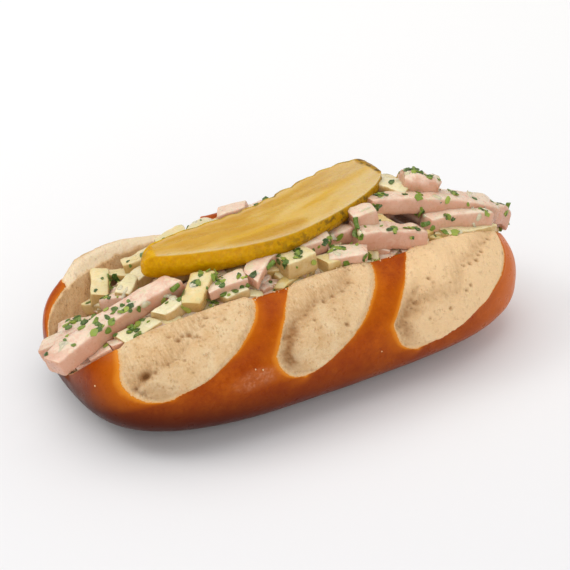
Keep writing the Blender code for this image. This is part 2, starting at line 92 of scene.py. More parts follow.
GHERKIN_LENGTH = 0.1064
GHERKIN_WIDTH = 0.0275
GHERKIN_THICKNESS = (0.0109, 0.0075)
GHERKIN_START = (-0.0565, 0.0015)
GHERKIN_HEADINGS = (-12.0, 18.5)
GHERKIN_BEND_AT = 0.42
GHERKIN_BEND_LENGTH = 0.12
GHERKIN_TOP = (0.0537, 0.0575)
GHERKIN_THINNING = 2.2
GHERKIN_FACE = (0.80, 0.93)
GHERKIN_ROLL = (0.05, 0.050)
GHERKIN_BLUNTNESS = (2.5, 3.1)
GHERKIN_FAR_BLUNTNESS = (2.5, 3.3)
GHERKIN_NEAR_BLUNTNESS = (2.5, 2.1)
GHERKIN_END_FULLNESS = 0.35
GHERKIN_WIDEST_SHIFT = 1.3


# ---------------------------------------------------------------- shared tools

def fullness(share, power):
    """How much of the middle's size is left at a station, 1 in the middle and 0 at the tips."""
    return max(0.0, 1.0 - abs(share) ** power) ** (1.0 / power)


def within(value, low, high):
    return max(low, min(high, value))


def smooth_step(value):
    value = min(1.0, max(0.0, value))
    return value * value * (3.0 - 2.0 * value)


def rise(value, start, run):
    """0 up to start and 1 from start + run on, or the other way round where run is less than nothing."""
    return smooth_step((value - start) / run)


def bell(value, width):
    """1 at nothing, falling to nothing on both sides."""
    return math.exp(-(value / width) ** 2)


def between(table, x):
    """The straight-line value at x of a table of (x, value) rows."""
    for (x0, value0), (x1, value1) in zip(table, table[1:]):
        if x <= x1:
            share = max(0.0, (x - x0) / (x1 - x0))
            return value0 + (value1 - value0) * share
    return table[-1][1]


def blend(pair, share):
    """From the first value of a pair at 0 to the second at 1."""
    return pair[0] + (pair[1] - pair[0]) * share


def ripple(x, y, z, pitch):
    """Noise from -1 to 1 at a point in millimetres, with lumps about pitch millimetres apart."""
    return noise.noise((x / pitch, y / pitch, z / pitch))


def ripples(x, y, rows, start=0.0):
    """A start value and the ripples of some rows on it, each with its height, seed and pitch."""
    for height, seed, pitch in rows:
        start += height * ripple(x, y, seed, pitch)
    return start


def sine_spacing(step, steps):
    """Shares from 0 to 1 that lie closer together at both ends."""
    return (math.sin((step / steps - 0.5) * math.pi) + 1.0) / 2


def add_to_scene(item):
    bpy.context.scene.collection.objects.link(item)


def make_piece(name, bm, finish, node, smooth=True):
    """The finished object of a bmesh: it replaces a solid, rides on the sandwich, and takes a slot."""
    mesh = bpy.data.meshes.new(name)
    bm.to_mesh(mesh)
    bm.free()
    if smooth:
        mesh.shade_smooth()
    mesh.materials.append(finish)
    piece = bpy.data.objects.new(name, mesh)
    add_to_scene(piece)
    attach(piece, "root")
    if node:
        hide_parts(node)
    return piece


def wrapped_grid(points, fields):
    """A closed skin over a grid of points: its last ring step meets the first, its ends are drawn in."""
    stations, around = points.shape[0] - 1, points.shape[1]
    bm = bmesh.new()
    bmesh.ops.create_grid(bm, x_segments=stations, y_segments=around, size=0.5)
    layers = {name: bm.verts.layers.float.new(name) for name in fields}
    for vert in bm.verts:
        i = round((vert.co.x + 0.5) * stations)
        j = round((vert.co.y + 0.5) * around) % around
        vert.co = points[i, j]
        for name, layer in layers.items():
            vert[layer] = fields[name][i, j]
    bmesh.ops.remove_doubles(bm, verts=bm.verts, dist=0.01 * MM)
    bmesh.ops.recalc_face_normals(bm, faces=bm.faces)
    return bm


def grid_normals(points):
    """Normals of a wrapped grid of points, outward where its rings run anticlockwise seen from -X."""
    along = np.gradient(points, axis=0)
    across = np.roll(points, -1, axis=1) - np.roll(points, 1, axis=1)
    normals = np.cross(along, across)
    size = np.linalg.norm(normals, axis=2, keepdims=True)
    return normals / np.maximum(size, 1e-12)


# ---------------------------------------------------------------- materials

def srgb(red, green, blue):
    """A colour given in 0 to 255, as the linear values that a shader takes."""
    def linear(value):
        value /= 255.0
        return value / 12.92 if value <= 0.04045 else ((value + 0.055) / 1.055) ** 2.4
    return (linear(red), linear(green), linear(blue), 1.0)


class Finish:
    """A Principled material and short ways to add nodes to it."""

    def __init__(self, name, **sockets):
        self.material = bpy.data.materials.new(name)
        self.material.use_nodes = True
        self.tree = self.material.node_tree
        self.shader = self.tree.nodes["Principled BSDF"]
        for socket, value in sockets.items():
            self.shader.inputs[socket.replace("_", " ")].default_value = value
        self.place = self.tree.nodes.new("ShaderNodeTexCoord").outputs["Object"]

    def node(self, kind, **sockets):
        """A new node with some of its sockets linked or set."""
        node = self.tree.nodes.new("ShaderNode" + kind)
        for socket, value in sockets.items():
            self.link(value, node.inputs[socket.replace("_", " ")])
        return node

    def link(self, source, target):
        if isinstance(source, (int, float, tuple)):
            target.default_value = source
        else:
            self.tree.links.new(source, target)

    def field(self, name):
        """A value that the mesh holds at each of its points."""
        node = self.node("Attribute")
        node.attribute_name = name
        return node.outputs["Fac"]

    def math(self, operation, first, second):
        node = self.node("Math")
        node.operation = operation
        self.link(first, node.inputs[0])
        self.link(second, node.inputs[1])
        return node.outputs[0]

    def times(self, first, second):
        return self.math("MULTIPLY", first, second)

    def span(self, value, low, high, to_low=0.0, to_high=1.0, smooth=True):
        """A value from low to high, mapped on to another range and held at its ends."""
        node = self.node("MapRange", Value=value, From_Min=low, From_Max=high, To_Min=to_low, To_Max=to_high)
        node.interpolation_type = "SMOOTHSTEP" if smooth else "LINEAR"
        return node.outputs["Result"]

    def scaled(self, where, x, y, turn=0.0):
        node = self.node("Mapping", Vector=where, Scale=(x, y, 1.0), Rotation=(0.0, 0.0, turn))
        return node.outputs[0]

    def combine(self, x, y):
        """A place made of fields that are in millimetres."""
        return self.scaled(self.node("CombineXYZ", X=x, Y=y).outputs[0], MM, MM)

    def noise(self, pitch, detail=2.0, rough=0.5, where=None, twist=0.0):
        """Cloudy noise with lumps about pitch millimetres apart."""
        node = self.node("TexNoise", Vector=where or self.place, Scale=1.0 / (pitch * MM), Detail=detail,
                         Roughness=rough, Distortion=twist)
        return node.outputs["Fac"]

    def cells(self, pitch, where):
        """Distance to the nearest of scattered points about pitch millimetres apart."""
        return self.node("TexVoronoi", Vector=where, Scale=1.0 / (pitch * MM)).outputs["Distance"]

    def ramp(self, value, *stops):
        """Colours by value, from pairs of a position and a colour."""
        node = self.node("ValToRGB", Fac=value)
        ramp = node.color_ramp
        while len(ramp.elements) < len(stops):
            ramp.elements.new(0.5)
        for element, (position, colour) in zip(ramp.elements, stops):
            element.position = position
            element.color = colour
        return node.outputs["Color"]

    def blend(self, share, first, second):
        node = self.node("Mix")
        for value, socket in ((share, 0), (first, 2), (second, 3)):
            self.link(value, node.inputs[socket])
        return node.outputs[0]

    def mix(self, share, first, second):
        """The first colour at a share of 0 and the second at 1."""
        node = self.node("Mix")
        node.data_type = "RGBA"
        for value, socket in ((share, 0), (first, 6), (second, 7)):
            self.link(value, node.inputs[socket])
        return node.outputs[2]

    def tint(self, base, value, low, high, amount, colour, smooth=True):
        """A colour over a base where a value is high."""
        return self.mix(self.span(value, low, high, 0.0, amount, smooth), base, colour)

    def tint_low(self, base, value, low, high, amount, colour):
        """A colour over a base where a value is low."""
        return self.mix(self.span(value, low, high, amount, 0.0), base, colour)

    def wash(self, base, value, amount, colour):
        """A colour over a base by a field's own value."""
        return self.mix(self.times(value, amount), base, colour)

    def colour(self, value):
        self.link(value, self.shader.inputs["Base Color"])

    def roughness(self, value):
        self.link(value, self.shader.inputs["Roughness"])

    def scatter(self, weight, red, green, blue):
        """Light that spreads under the surface, with its reach in metres for each colour."""
        self.shader.inputs["Subsurface Weight"].default_value = weight
        self.shader.inputs["Subsurface Radius"].default_value = (red, green, blue)
        self.shader.inputs["Subsurface Scale"].default_value = 1.0

    def bump(self, height, depth, strength=1.0):
        """Fine relief of depth millimetres."""
        node = self.node("Bump", Strength=strength, Distance=depth * MM, Height=height)
        before = self.shader.inputs["Normal"].links
        if before:
            self.link(before[0].from_socket, node.inputs["Normal"])
        self.tree.links.new(node.outputs[0], self.shader.inputs["Normal"])


CRUST_SHADES = ((0.30, srgb(152, 58, 0)), (0.50, srgb(170, 74, 0)), (0.70, srgb(186, 90, 6)))
CRUST_FLECK = srgb(134, 44, 0)
CRUST_SPECK = srgb(206, 116, 44)
CRUST_DARK_MOTTLE = srgb(136, 46, 0)
CRUST_PALE_MOTTLE = srgb(196, 100, 14)
CRUST_WRINKLE = srgb(112, 38, 8)
CRUST_RIGHT_END = srgb(226, 118, 24)
CRUST_BELOW = srgb(86, 26, 2)
CRUST_LOWER_LEFT = srgb(58, 14, 0)
CRUST_BY_SCORE = srgb(200, 104, 0)
CRUST_AT_SCORE = srgb(228, 144, 40)
CRUST_SCUFF = srgb(222, 160, 120)
CRUMB_SHADES = ((0.30, srgb(228, 188, 138)), (0.50, srgb(238, 203, 156)), (0.72, srgb(245, 217, 174)))
CRUMB_GRAIN_DARK = srgb(206, 158, 104)
CRUMB_GRAIN_PALE = srgb(250, 226, 188)
CRUMB_PORE = srgb(212, 156, 92)
CRUMB_THREAD = srgb(192, 144, 92)
CRUMB_RIGHT = srgb(255, 217, 168)
CRUMB_PALE_RIM = srgb(252, 232, 200)
CRUMB_HOLLOW = srgb(166, 118, 72)
CRUMB_DEEP = srgb(132, 88, 48)
CRUMB_TOASTED = srgb(240, 180, 104)


def crust_colour(made, flat):
    """Chestnut crust, with painted shade below and to the left and painted light at its right end, amber
    beside the scores.
    """
    along, under, glow = made.field("along"), made.field("under"), made.field("glow")
    crust = made.ramp(made.noise(16.0, 4.0, 0.6), *CRUST_SHADES)
    crust = made.tint(crust, made.noise(1.3, 5.0, 0.7), 0.40, 0.75, 0.45, CRUST_FLECK)
    crust = made.tint(crust, made.noise(0.34, 2.0, 0.6), 0.58, 0.78, 0.40, CRUST_SPECK)
    mottle = made.noise(4.2, 3.0, 0.6)
    crust = made.tint(crust, mottle, 0.48, 0.70, 0.35, CRUST_DARK_MOTTLE)
    crust = made.tint_low(crust, mottle, 0.30, 0.46, 0.30, CRUST_PALE_MOTTLE)
    wrinkle = made.noise(0.55, 3.0, 0.6, made.scaled(flat, 0.30, 1.5, 0.9))
    crust = made.tint(crust, wrinkle, 0.54, 0.70, 0.22, CRUST_WRINKLE)
    # Painted light: the crust is paler towards its right end.
    crust = made.tint(crust, along, 40.0, 86.0, 0.7, CRUST_RIGHT_END)
    # Painted shade on the crust's low parts, stronger at its lower left.
    crust = made.tint(crust, under, 0.05, 0.70, 0.95, CRUST_BELOW)
    lower_left = made.times(made.span(under, 0.28, 0.80), made.span(along, -56.0, -12.0, 0.80, 0.0))
    crust = made.mix(lower_left, crust, CRUST_LOWER_LEFT)
    crust = made.tint(crust, glow, 0.12, 0.85, 0.80, CRUST_BY_SCORE, smooth=False)
    crust = made.tint(crust, glow, 0.66, 1.0, 0.90, CRUST_AT_SCORE, smooth=False)
    # A scuffed patch that is also a painted sheen.
    scratch = made.noise(1.6, 3.0, 0.6, made.scaled(made.place, 1.0, 3.0, 0.6))
    scuffed = made.times(made.span(made.field("scuff"), 0.0, 0.6), made.span(scratch, 0.42, 0.70, 0.08, 0.34))
    return made.mix(scuffed, crust, CRUST_SCUFF)


def crumb_colour(made, grain, pore, threads, strings, ragged):
    """Cream crumb, with painted shade brown in its hollows and pores, painted light towards the right, and
    toasted along the crust.
    """
    pit = made.field("pit")
    crumb = made.ramp(made.noise(5.5, 4.0, 0.6), *CRUMB_SHADES)
    crumb = made.tint(crumb, grain, 0.50, 0.72, 0.50, CRUMB_GRAIN_DARK)
    crumb = made.tint_low(crumb, grain, 0.34, 0.46, 0.35, CRUMB_GRAIN_PALE)
    # Painted shade in the pores.
    crumb = made.wash(crumb, pore, 0.38, CRUMB_PORE)
    crumb = made.wash(crumb, made.times(strings, made.span(threads, 0.40, 0.62)), 0.40, CRUMB_THREAD)
    # Painted light: the crumb is paler towards the right.
    crumb = made.tint(crumb, made.field("along"), -20.0, 50.0, 0.85, CRUMB_RIGHT)
    crumb = made.tint_low(crumb, pit, -0.8, 0.0, 0.8, CRUMB_PALE_RIM)
    # Painted shade in the crumb's hollows, holes, furrows and sunken corners.
    crumb = made.tint(crumb, pit, 0.0, 0.7, 0.88, CRUMB_HOLLOW, smooth=False)
    crumb = made.tint(crumb, pit, 0.72, 1.0, 0.85, CRUMB_DEEP)
    return made.tint_low(crumb, ragged, 0.0, 1.1, 0.5, CRUMB_TOASTED)


def bread_finish():
    """Lye crust and crumb. The shell field is how far a point lies inside the crumb, in millimetres,
    and less than nothing on the crust."""
    made = Finish("pretzel crust and crumb", Specular_IOR_Level=0.10)
    strings = made.field("strings")
    flat = made.combine(made.field("along"), made.field("down"))
    ragged = made.math("ADD", made.field("shell"), made.span(made.noise(0.7, 3.0), 0.3, 0.7, -0.16, 0.16))
    crumb_share = made.span(ragged, -0.10, 0.16)
    crust_share = made.math("SUBTRACT", 1.0, crumb_share)
    grain = made.noise(0.85, 5.0, 0.75)
    pore = made.times(made.span(made.cells(0.95, made.scaled(flat, 1.0, 0.62, 0.5)), 0.12, 0.42, 1.0, 0.0),
                      made.span(made.noise(3.4, 2.0), 0.38, 0.6))
    threads = made.noise(1.0, 3.0, 0.55, made.scaled(flat, 1.5, 0.3, 0.2))
    crumb = crumb_colour(made, grain, pore, threads, strings, ragged)
    made.colour(made.mix(crumb_share, crust_colour(made, flat), crumb))
    made.roughness(made.blend(crumb_share, made.span(made.noise(4.0, 3.0), 0.3, 0.7, 0.26, 0.40), 0.85))
    made.bump(made.times(grain, crumb_share), 0.75, 0.9)
    made.bump(made.times(made.math("SUBTRACT", 0.0, pore), crumb_share), 0.30, 0.8)
    made.bump(made.times(made.times(threads, strings), crumb_share), 0.3, 0.8)
    made.bump(made.times(made.noise(0.7, 4.0, 0.65), crust_share), 0.10, 0.7)
    made.scatter(0.10, 0.0022, 0.0011, 0.0005)
    return made.material


SAUSAGE_SHADES = ((0.0, srgb(214, 168, 144)), (0.5, srgb(226, 188, 162)), (1.0, srgb(236, 206, 180)))
SAUSAGE_PALE = srgb(240, 212, 192)
SAUSAGE_BLUSH = srgb(210, 158, 134)
SAUSAGE_SPECK = srgb(198, 144, 120)
SAUSAGE_MILK = srgb(238, 222, 196)
SAUSAGE_HERB_JUICE = srgb(196, 196, 138)
SAUSAGE_FLANK = srgb(202, 140, 106)
SAUSAGE_IN_HOLLOW = srgb(72, 44, 32)
CHEESE_SHADES = ((0.0, srgb(222, 190, 112)), (0.45, srgb(230, 208, 152)), (1.0, srgb(238, 226, 190)))
CHEESE_PALE = srgb(243, 232, 200)
CHEESE_BARE = srgb(204, 166, 94)
CHEESE_MILK = srgb(212, 204, 150)
CHEESE_SPECK = srgb(196, 168, 104)
CHEESE_FLANK = srgb(190, 150, 78)
CHEESE_IN_HOLLOW = srgb(76, 50, 34)
HERB_SHADES = ((0.0, srgb(50, 74, 26)), (0.35, srgb(84, 110, 34)), (0.7, srgb(128, 148, 46)),
               (1.0, srgb(170, 182, 80)))
HERB_VEIN = srgb(136, 156, 92)
FILLING_SHADES = ((0.36, srgb(178, 134, 100)), (0.46, srgb(212, 172, 142)), (0.56, srgb(224, 204, 156)),
                  (0.68, srgb(206, 160, 132)))
FILLING_HERB = srgb(84, 104, 44)
FILLING_GAP = srgb(70, 42, 26)
DRESSING_SHADES = ((0.3, srgb(208, 194, 146)), (0.7, srgb(232, 220, 186)))


def sausage_finish():
    """Pale pink sausage, milky where dressing lies on it and paler as painted light on faces that look up,
    darker as painted shade on its steep flanks and in the hollow among the bars."""
    made = Finish("dressed sausage", Specular_IOR_Level=0.45, Coat_Weight=0.2, Coat_Roughness=0.18)
    film = made.field("film")
    pink = made.ramp(made.field("tone"), *SAUSAGE_SHADES)
    pink = made.tint(pink, made.noise(3.8, 4.0, 0.6), 0.38, 0.68, 0.5, SAUSAGE_PALE)
    pink = made.tint(pink, made.noise(6.5, 2.0, 0.5), 0.50, 0.72, 0.45, SAUSAGE_BLUSH)
    pink = made.tint(pink, made.noise(0.8, 3.0, 0.65), 0.55, 0.75, 0.42, SAUSAGE_SPECK)
    milk = made.math("ADD", film, made.span(made.noise(3.0, 4.0, 0.6, twist=0.8), 0.25, 0.75, -0.5, 0.5))
    # Milky dressing, paler still as painted light on faces that look up.
    pink = made.tint(pink, milk, 0.66, 1.10, 0.55, SAUSAGE_MILK)
    juice = made.times(made.span(milk, 0.72, 1.1),
                       made.span(made.noise(4.0, 3.0, 0.55), 0.54, 0.64, 0.0, 0.40))
    pink = made.mix(juice, pink, SAUSAGE_HERB_JUICE)
    # Painted shade on faces that turn away from up.
    pink = made.wash(pink, made.field("steep"), 0.62, SAUSAGE_FLANK)
    # Painted shade in the hollow among the bars.
    made.colour(made.tint_low(pink, film, -0.9, -0.3, 0.9, SAUSAGE_IN_HOLLOW))
    made.roughness(made.span(made.noise(1.4, 3.0), 0.35, 0.65, 0.24, 0.5))
    made.bump(made.noise(0.8, 4.0, 0.65), 0.16, 0.7)
    made.scatter(0.22, 0.004, 0.0018, 0.0012)
    return made.material


def cheese_finish():
    made = Finish("cheese and egg", Specular_IOR_Level=0.45, Coat_Weight=0.2, Coat_Roughness=0.18)
    film = made.field("film")
    cream = made.ramp(made.field("tone"), *CHEESE_SHADES)
    cream = made.tint(cream, made.noise(3.4, 3.0, 0.55), 0.4, 0.75, 0.45, CHEESE_PALE)
    milk = made.math("ADD", film, made.span(made.noise(2.8, 3.0, 0.55, twist=0.5), 0.25, 0.75, -0.45, 0.45))
    # Darker where little dressing lies, and as painted shade on faces that do not look up.
    cream = made.tint_low(cream, milk, 0.1, 0.55, 0.6, CHEESE_BARE)
    # Milky dressing, paler still as painted light on faces that look up.
    cream = made.tint(cream, milk, 0.70, 1.1, 0.45, CHEESE_MILK)
    cream = made.tint(cream, made.noise(0.9, 3.0, 0.6), 0.56, 0.76, 0.25, CHEESE_SPECK)
    # Painted shade on faces that turn away from up.
    cream = made.wash(cream, made.field("steep"), 0.70, CHEESE_FLANK)
    # Painted shade in the hollow among the bars.
    made.colour(made.tint_low(cream, film, -0.9, -0.3, 0.9, CHEESE_IN_HOLLOW))
    made.roughness(made.span(made.noise(1.6, 2.0), 0.35, 0.65, 0.24, 0.46))
    made.bump(made.noise(1.1, 4.0, 0.6), 0.14, 0.6)
    made.scatter(0.28, 0.004, 0.003, 0.0015)
    return made.material


def herb_finish():
    made = Finish("chopped herbs", Specular_IOR_Level=0.35, Roughness=0.38)
    green = made.ramp(made.field("tone"), *HERB_SHADES)
    made.colour(made.tint(green, made.noise(0.9, 2.0, 0.5), 0.46, 0.66, 0.45, HERB_VEIN))
    made.bump(made.noise(0.7, 2.0), 0.08, 0.5)
    made.scatter(0.15, 0.001, 0.002, 0.0005)
    return made.material


def core_finish():
    """What shows between the bars: chopped bits in dressing, with painted shade in the gaps."""
    made = Finish("dressed filling", Specular_IOR_Level=0.4, Coat_Weight=0.2, Coat_Roughness=0.2)
    base = made.ramp(made.noise(3.0, 3.0, 0.6), *FILLING_SHADES)
    base = made.tint(base, made.noise(1.3, 2.0, 0.5), 0.60, 0.66, 0.8, FILLING_HERB)
    made.colour(made.wash(base, made.field("gap"), 0.70, FILLING_GAP))
    made.roughness(0.4)
    made.bump(made.noise(1.2, 3.0, 0.6), 0.25, 0.7)
    return made.material


def dressing_finish():
    made = Finish("milky dressing", Specular_IOR_Level=0.5, Coat_Weight=0.3, Coat_Roughness=0.12)
    made.colour(made.ramp(made.noise(1.6, 2.0, 0.5), *DRESSING_SHADES))
    made.roughness(0.25)
    made.scatter(0.4, 0.003, 0.0025, 0.0015)
    return made.material


FLESH_SHADES = ((0.36, srgb(192, 144, 50)), (0.48, srgb(203, 161, 70)), (0.62, srgb(214, 179, 104)))
FLESH_STREAK = srgb(222, 190, 122)
FLESH_GOLDEN = srgb(200, 152, 50)
FLESH_PALE = srgb(214, 188, 140)
FLESH_HEART = srgb(212, 164, 34)
RIND_SHADES = ((0.32, srgb(198, 142, 0)), (0.5, srgb(208, 152, 0)), (0.66, srgb(216, 164, 0)))
RIND_SPOT = srgb(78, 60, 24)
RIND_OLIVE = srgb(118, 90, 26)
RIND_EDGE = srgb(222, 180, 40)
RIND_BELOW = srgb(140, 92, 0)


def gherkin_finish():
    """Flesh with seed streaks, and rind. The run and across fields follow the slice, in millimetres."""
    made = Finish("pickled gherkin", Specular_IOR_Level=0.10)
    rind, dark = made.field("rind"), made.field("dark")
    flat = made.combine(made.field("run"), made.field("across"))
    streaks = made.noise(9.0, 2.0, 0.4, made.scaled(flat, 0.24, 1.0), 1.3)
    fine_streaks = made.noise(4.0, 2.0, 0.4, made.scaled(flat, 0.12, 1.0), 0.6)
    flesh = made.ramp(streaks, *FLESH_SHADES)
    flesh = made.tint(flesh, fine_streaks, 0.50, 0.66, 0.30, FLESH_STREAK)
    flesh = made.wash(flesh, made.field("golden"), 0.55, FLESH_GOLDEN)
    flesh = made.wash(flesh, made.field("pale"), 0.7, FLESH_PALE)
    flesh = made.wash(flesh, made.field("heart"),
                      made.span(fine_streaks, 0.34, 0.60, 0.70, 0.35), FLESH_HEART)
    wart = made.noise(1.2, 4.0, 0.65)
    skin = made.ramp(wart, *RIND_SHADES)
    skin = made.wash(skin, made.span(made.noise(3.4, 3.0, 0.6), 0.50, 0.60, 0.0, 0.85), dark, RIND_SPOT)
    skin = made.wash(skin, dark, 0.42, RIND_OLIVE)
    skin = made.wash(skin, made.field("edge"), 0.55, RIND_EDGE)
    # Painted shade on the rind further down its flank.
    skin = made.wash(skin, made.field("low"), 0.25, RIND_BELOW)
    made.colour(made.mix(rind, flesh, skin))
    made.roughness(made.span(made.noise(2.0, 2.0), 0.3, 0.7, 0.22, 0.38))
    made.bump(streaks, 0.3, 0.4)
    made.bump(made.times(wart, rind), 0.2, 0.5)
    made.scatter(0.35, 0.006, 0.004, 0.0008)
    return made.material


FLOOR_NEAR = srgb(234, 234, 236)
FLOOR_FAR = srgb(251, 251, 251)


def floor_finish():
    """A pale floor with painted light: greyer near the sandwich and a little whiter far behind it."""
    made = Finish("pale floor", Specular_IOR_Level=0.2)
    spread = made.node("SeparateXYZ", Vector=made.place)
    far = made.math("ADD", made.times(spread.outputs["Y"], 0.85), made.times(spread.outputs["X"], 0.53))
    made.colour(made.tint(FLOOR_NEAR, far, -0.12, 0.40, 1.0, FLOOR_FAR, smooth=False))
    made.roughness(0.8)
    return made.material


# ---------------------------------------------------------------- bun

STATIONS = 372
TIP_SPACING = 0.985
RIM_STEPS = 88
RIM_SHARE = 0.46
LOW_STEPS = 20
BACK_RIM_STEPS = 52
BACK_LOW_STEPS = 18
FACE_STEPS = 38
SKIN_ANGLES = 160
# The crust's thickness on a cut face, and how much more of it curls over the left end of the back rim:
# how much, from where and over what length, in millimetres.
CRUST_THICKNESS = 0.8
END_ROLL = 2.2
END_ROLL_FROM = -67.0
END_ROLL_RUN = 9.0

# Where each score's crumb tore as it rose, from its low left end up to the rim: along, down from the
# rim, and how deep the furrow beside it is, in millimetres.
TEARS = (
    ((-77.0, 17.5, 0.9), (-73.7, 15.4, 0.9), (-70.6, 14.2, 0.6), (-66.1, 13.2, 0.4), (-61.4, 12.4, 0.35),
     (-57.5, 9.5, 0.3), (-54.7, 7.4, 0.25), (-51.4, 5.3, 0.2), (-48.9, 2.8, 0.15), (-46.0, -1.0, 0.05)),
    ((-31.0, 22.0, 1.6), (-26.1, 18.8, 1.6), (-20.8, 15.1, 1.3), (-13.3, 11.3, 0.8), (-9.3, 11.0, 0.6),
     (-4.5, 9.7, 0.6), (-1.0, 9.4, 0.7), (2.7, 6.9, 0.8), (5.0, 3.5, 0.5), (9.5, -1.0, 0.3)),
    ((15.0, 28.5, 1.5), (19.0, 25.5, 1.5), (24.0, 22.5, 1.2), (29.0, 21.4, 0.7), (34.4, 21.0, 0.5),
     (38.8, 22.4, 0.5), (42.5, 21.6, 0.5), (44.8, 17.5, 0.5), (48.3, 13.2, 0.5), (54.7, 11.6, 0.6),
     (58.9, 9.0, 0.6), (67.2, 4.5, 0.5), (73.0, -1.0, 0.2)),
)
# Larger holes in each score's crumb: along, down from the rim, and radius, in millimetres.
HOLES = (
    ((-73.7, 12.9, 2.1), (-60.6, 6.6, 1.1), (-58.9, 5.8, 0.8), (-56.6, 6.3, 1.1), (-54.7, 7.9, 0.8),
     (-51.4, 5.3, 0.7), (-48.9, 2.8, 0.8), (-62.3, 4.6, 0.7), (-43.9, 5.8, 0.7), (-70.6, 13.4, 0.9),
     (-66.1, 12.4, 0.7), (-61.4, 13.4, 0.7), (-67.2, 19.7, 0.5), (-59.9, 17.7, 0.5), (-63.7, 12.0, 0.6),
     (-46.6, 4.0, 0.5), (-77.0, 15.2, 0.8), (-74.8, 17.6, 0.7)),
    ((2.7, 6.4, 0.9), (-1.0, 8.8, 0.8), (-5.3, 9.4, 1.0), (-9.3, 10.4, 1.0), (-13.3, 10.6, 0.8),
     (-4.8, 19.6, 0.9), (-22.4, 15.2, 0.8), (-17.2, 12.6, 0.9), (-15.6, 15.4, 0.6), (5.8, 2.2, 0.6),
     (11.5, 2.0, 0.6), (-7.2, 14.0, 0.5), (-27.0, 18.0, 0.6)),
    ((66.4, 4.8, 1.1), (64.0, 5.6, 0.8), (59.1, 9.4, 1.0), (54.7, 11.9, 1.0), (51.4, 12.6, 0.9),
     (48.3, 13.0, 0.8), (69.5, 11.5, 1.0), (36.9, 24.9, 0.9), (47.8, 19.4, 0.8), (45.4, 20.7, 0.8),
     (31.9, 13.7, 0.9), (33.0, 15.4, 0.6), (23.8, 20.0, 1.1), (22.0, 21.4, 0.8), (16.7, 26.7, 0.7),
     (18.4, 34.4, 0.9), (16.3, 29.0, 0.6), (27.6, 26.0, 0.6), (57.0, 10.4, 0.8), (39.5, 16.8, 0.6)),
)
CURLS = ((), (), ((27.4, 17.3, 2.3),))
# How dark the painted shade is in each score's sunken corner.
CORNER_SHADES = (0.70, 0.75, 0.50)
# How deep the hollow is that runs up beside each score's left edge, and how dark its painted shade.
TROUGHS = (0.25, 0.95, 0.70)

# Ripples as rows of height, seed and pitch, in millimetres: some by side, -1 for the front half.
TEAR_BEND_ALONG = ((1.1, 60.0, 4.2), (0.45, 63.0, 1.4))
TEAR_BEND_DOWN = ((1.1, 66.0, 4.2), (0.45, 69.0, 1.4))
CRUMB_GRAIN = ((0.20, 90.0, 2.6), (0.13, 95.0, 1.1))
EDGE_WANDER = {side: ((0.45, 3.0 * side, 6.0), (0.16, 9.0 * side, 1.6)) for side in (-1, 1)}
DEPTH_WANDER = {side: ((0.4, 20.0 + side, 6.0),) for side in (-1, 1)}
CRUST_WAVES = {side: ((0.22, 40.0 + side, 17.0), (0.04, 44.0 + side, 5.0)) for side in (-1, 1)}
FURROW_PATCHES = ((0.5, 140.0, 1.3),)
CORNER_PATCHES = ((0.6, 130.0, 1.8),)
TROUGH_PATCHES = ((0.45, 155.0, 1.0),)
TROUGH_WANDER = ((0.9, 150.0, 3.0),)
FACE_GRAIN = ((0.35, 160.0, 2.2), (0.3, 170.0, 1.0))
FACE_ROLL_WANDER = ((0.7, 180.0, 2.0),)
FACE_CRUST_WANDER = ((0.4, 190.0, 2.5),)
# Long waves in a cut face, as rows of height and pitch.
FACE_WAVES = ((0.7, 14.0), (0.4, 5.0))

# How a distance to a score's slanting side shortens to its inset.
SLANT = 0.8
# Small pores: rows of pitch, reach as a share of the pitch, and depth. Then how dark their painted shade is.
PORES = ((3.1, 0.24, 0.38), (1.7, 0.26, 0.24))
PORE_DARKNESS = 0.22
# Turns a pore's own place into a draw that says whether it is there.
PORE_DRAW = 3.7
# The share of pores that are there on a tear's lip, in its furrow and on a cut face.
LIP_PORES, FURROW_PORES, FACE_PORES = 0.5, 0.62, 0.75
PORE_SEED = 100.0

# Beside a tear the crumb stands up in a lip on one side, and falls into a furrow with strings on the other.
LIP_HEIGHT, LIP_REACH, LIP_EDGE = 0.45, 5.0, 0.8
FURROW_SHARES, FURROW_REACH, FURROW_EDGE, FURROW_RUN = (0.35, 1.0), 3.2, 2.2, 22.0
# Painted shade in the furrow beside a tear: how dark, where it lies, how wide, and the base of its patches.
FURROW_DARKNESS, FURROW_DARK_AT, FURROW_DARK_WIDTH, FURROW_DARK_BASE = 0.52, 1.8, 2.6, 0.8
STRINGS_EDGE, STRINGS_RUN = 1.2, 16.0
FIBRE_LEAN, FIBRE_STRETCH, FIBRE_SEED, FIBRE_PITCH = 0.25, 0.2, 80.0, 1.15
# The strings' height, and the painted shade between them.
FIBRE_HEIGHT, FIBRE_DARKNESS, FIBRE_SHARPNESS = 0.12, 0.16, 1.6
HOLE_ROOM, HOLE_WANDER, HOLE_SQUASH, HOLE_EDGE, HOLE_DEPTH = 3.0, 0.35, 1.15, 1.25, 0.85
# Painted shade in the holes, darker the wider they are.
HOLE_DARKNESS, HOLE_DARKNESS_BY_RADIUS = 0.30, 0.36
CURL_SQUASH, CURL_OPENING, CURL_OPEN_RUN = 0.8, 1.0, 1.5
CURL_HEIGHT, CURL_WIDTH, CURL_DEPTH, CURL_DEPTH_RUN = 0.5, 0.45, 0.3, 0.8
# Painted shade in each score's sunken corner: its reach, edge, shares and base, and where it starts and
# fades.
CORNER_REACH, CORNER_EDGE, CORNER_SHARES, CORNER_BASE = 11.0, 2.0, (0.3, 1.0), 0.7
CORNER_FROM, CORNER_RUN, CORNER_END, CORNER_END_RUN, CORNER_END_LOSS = 0.30, 0.4, 0.80, 0.2, 0.7
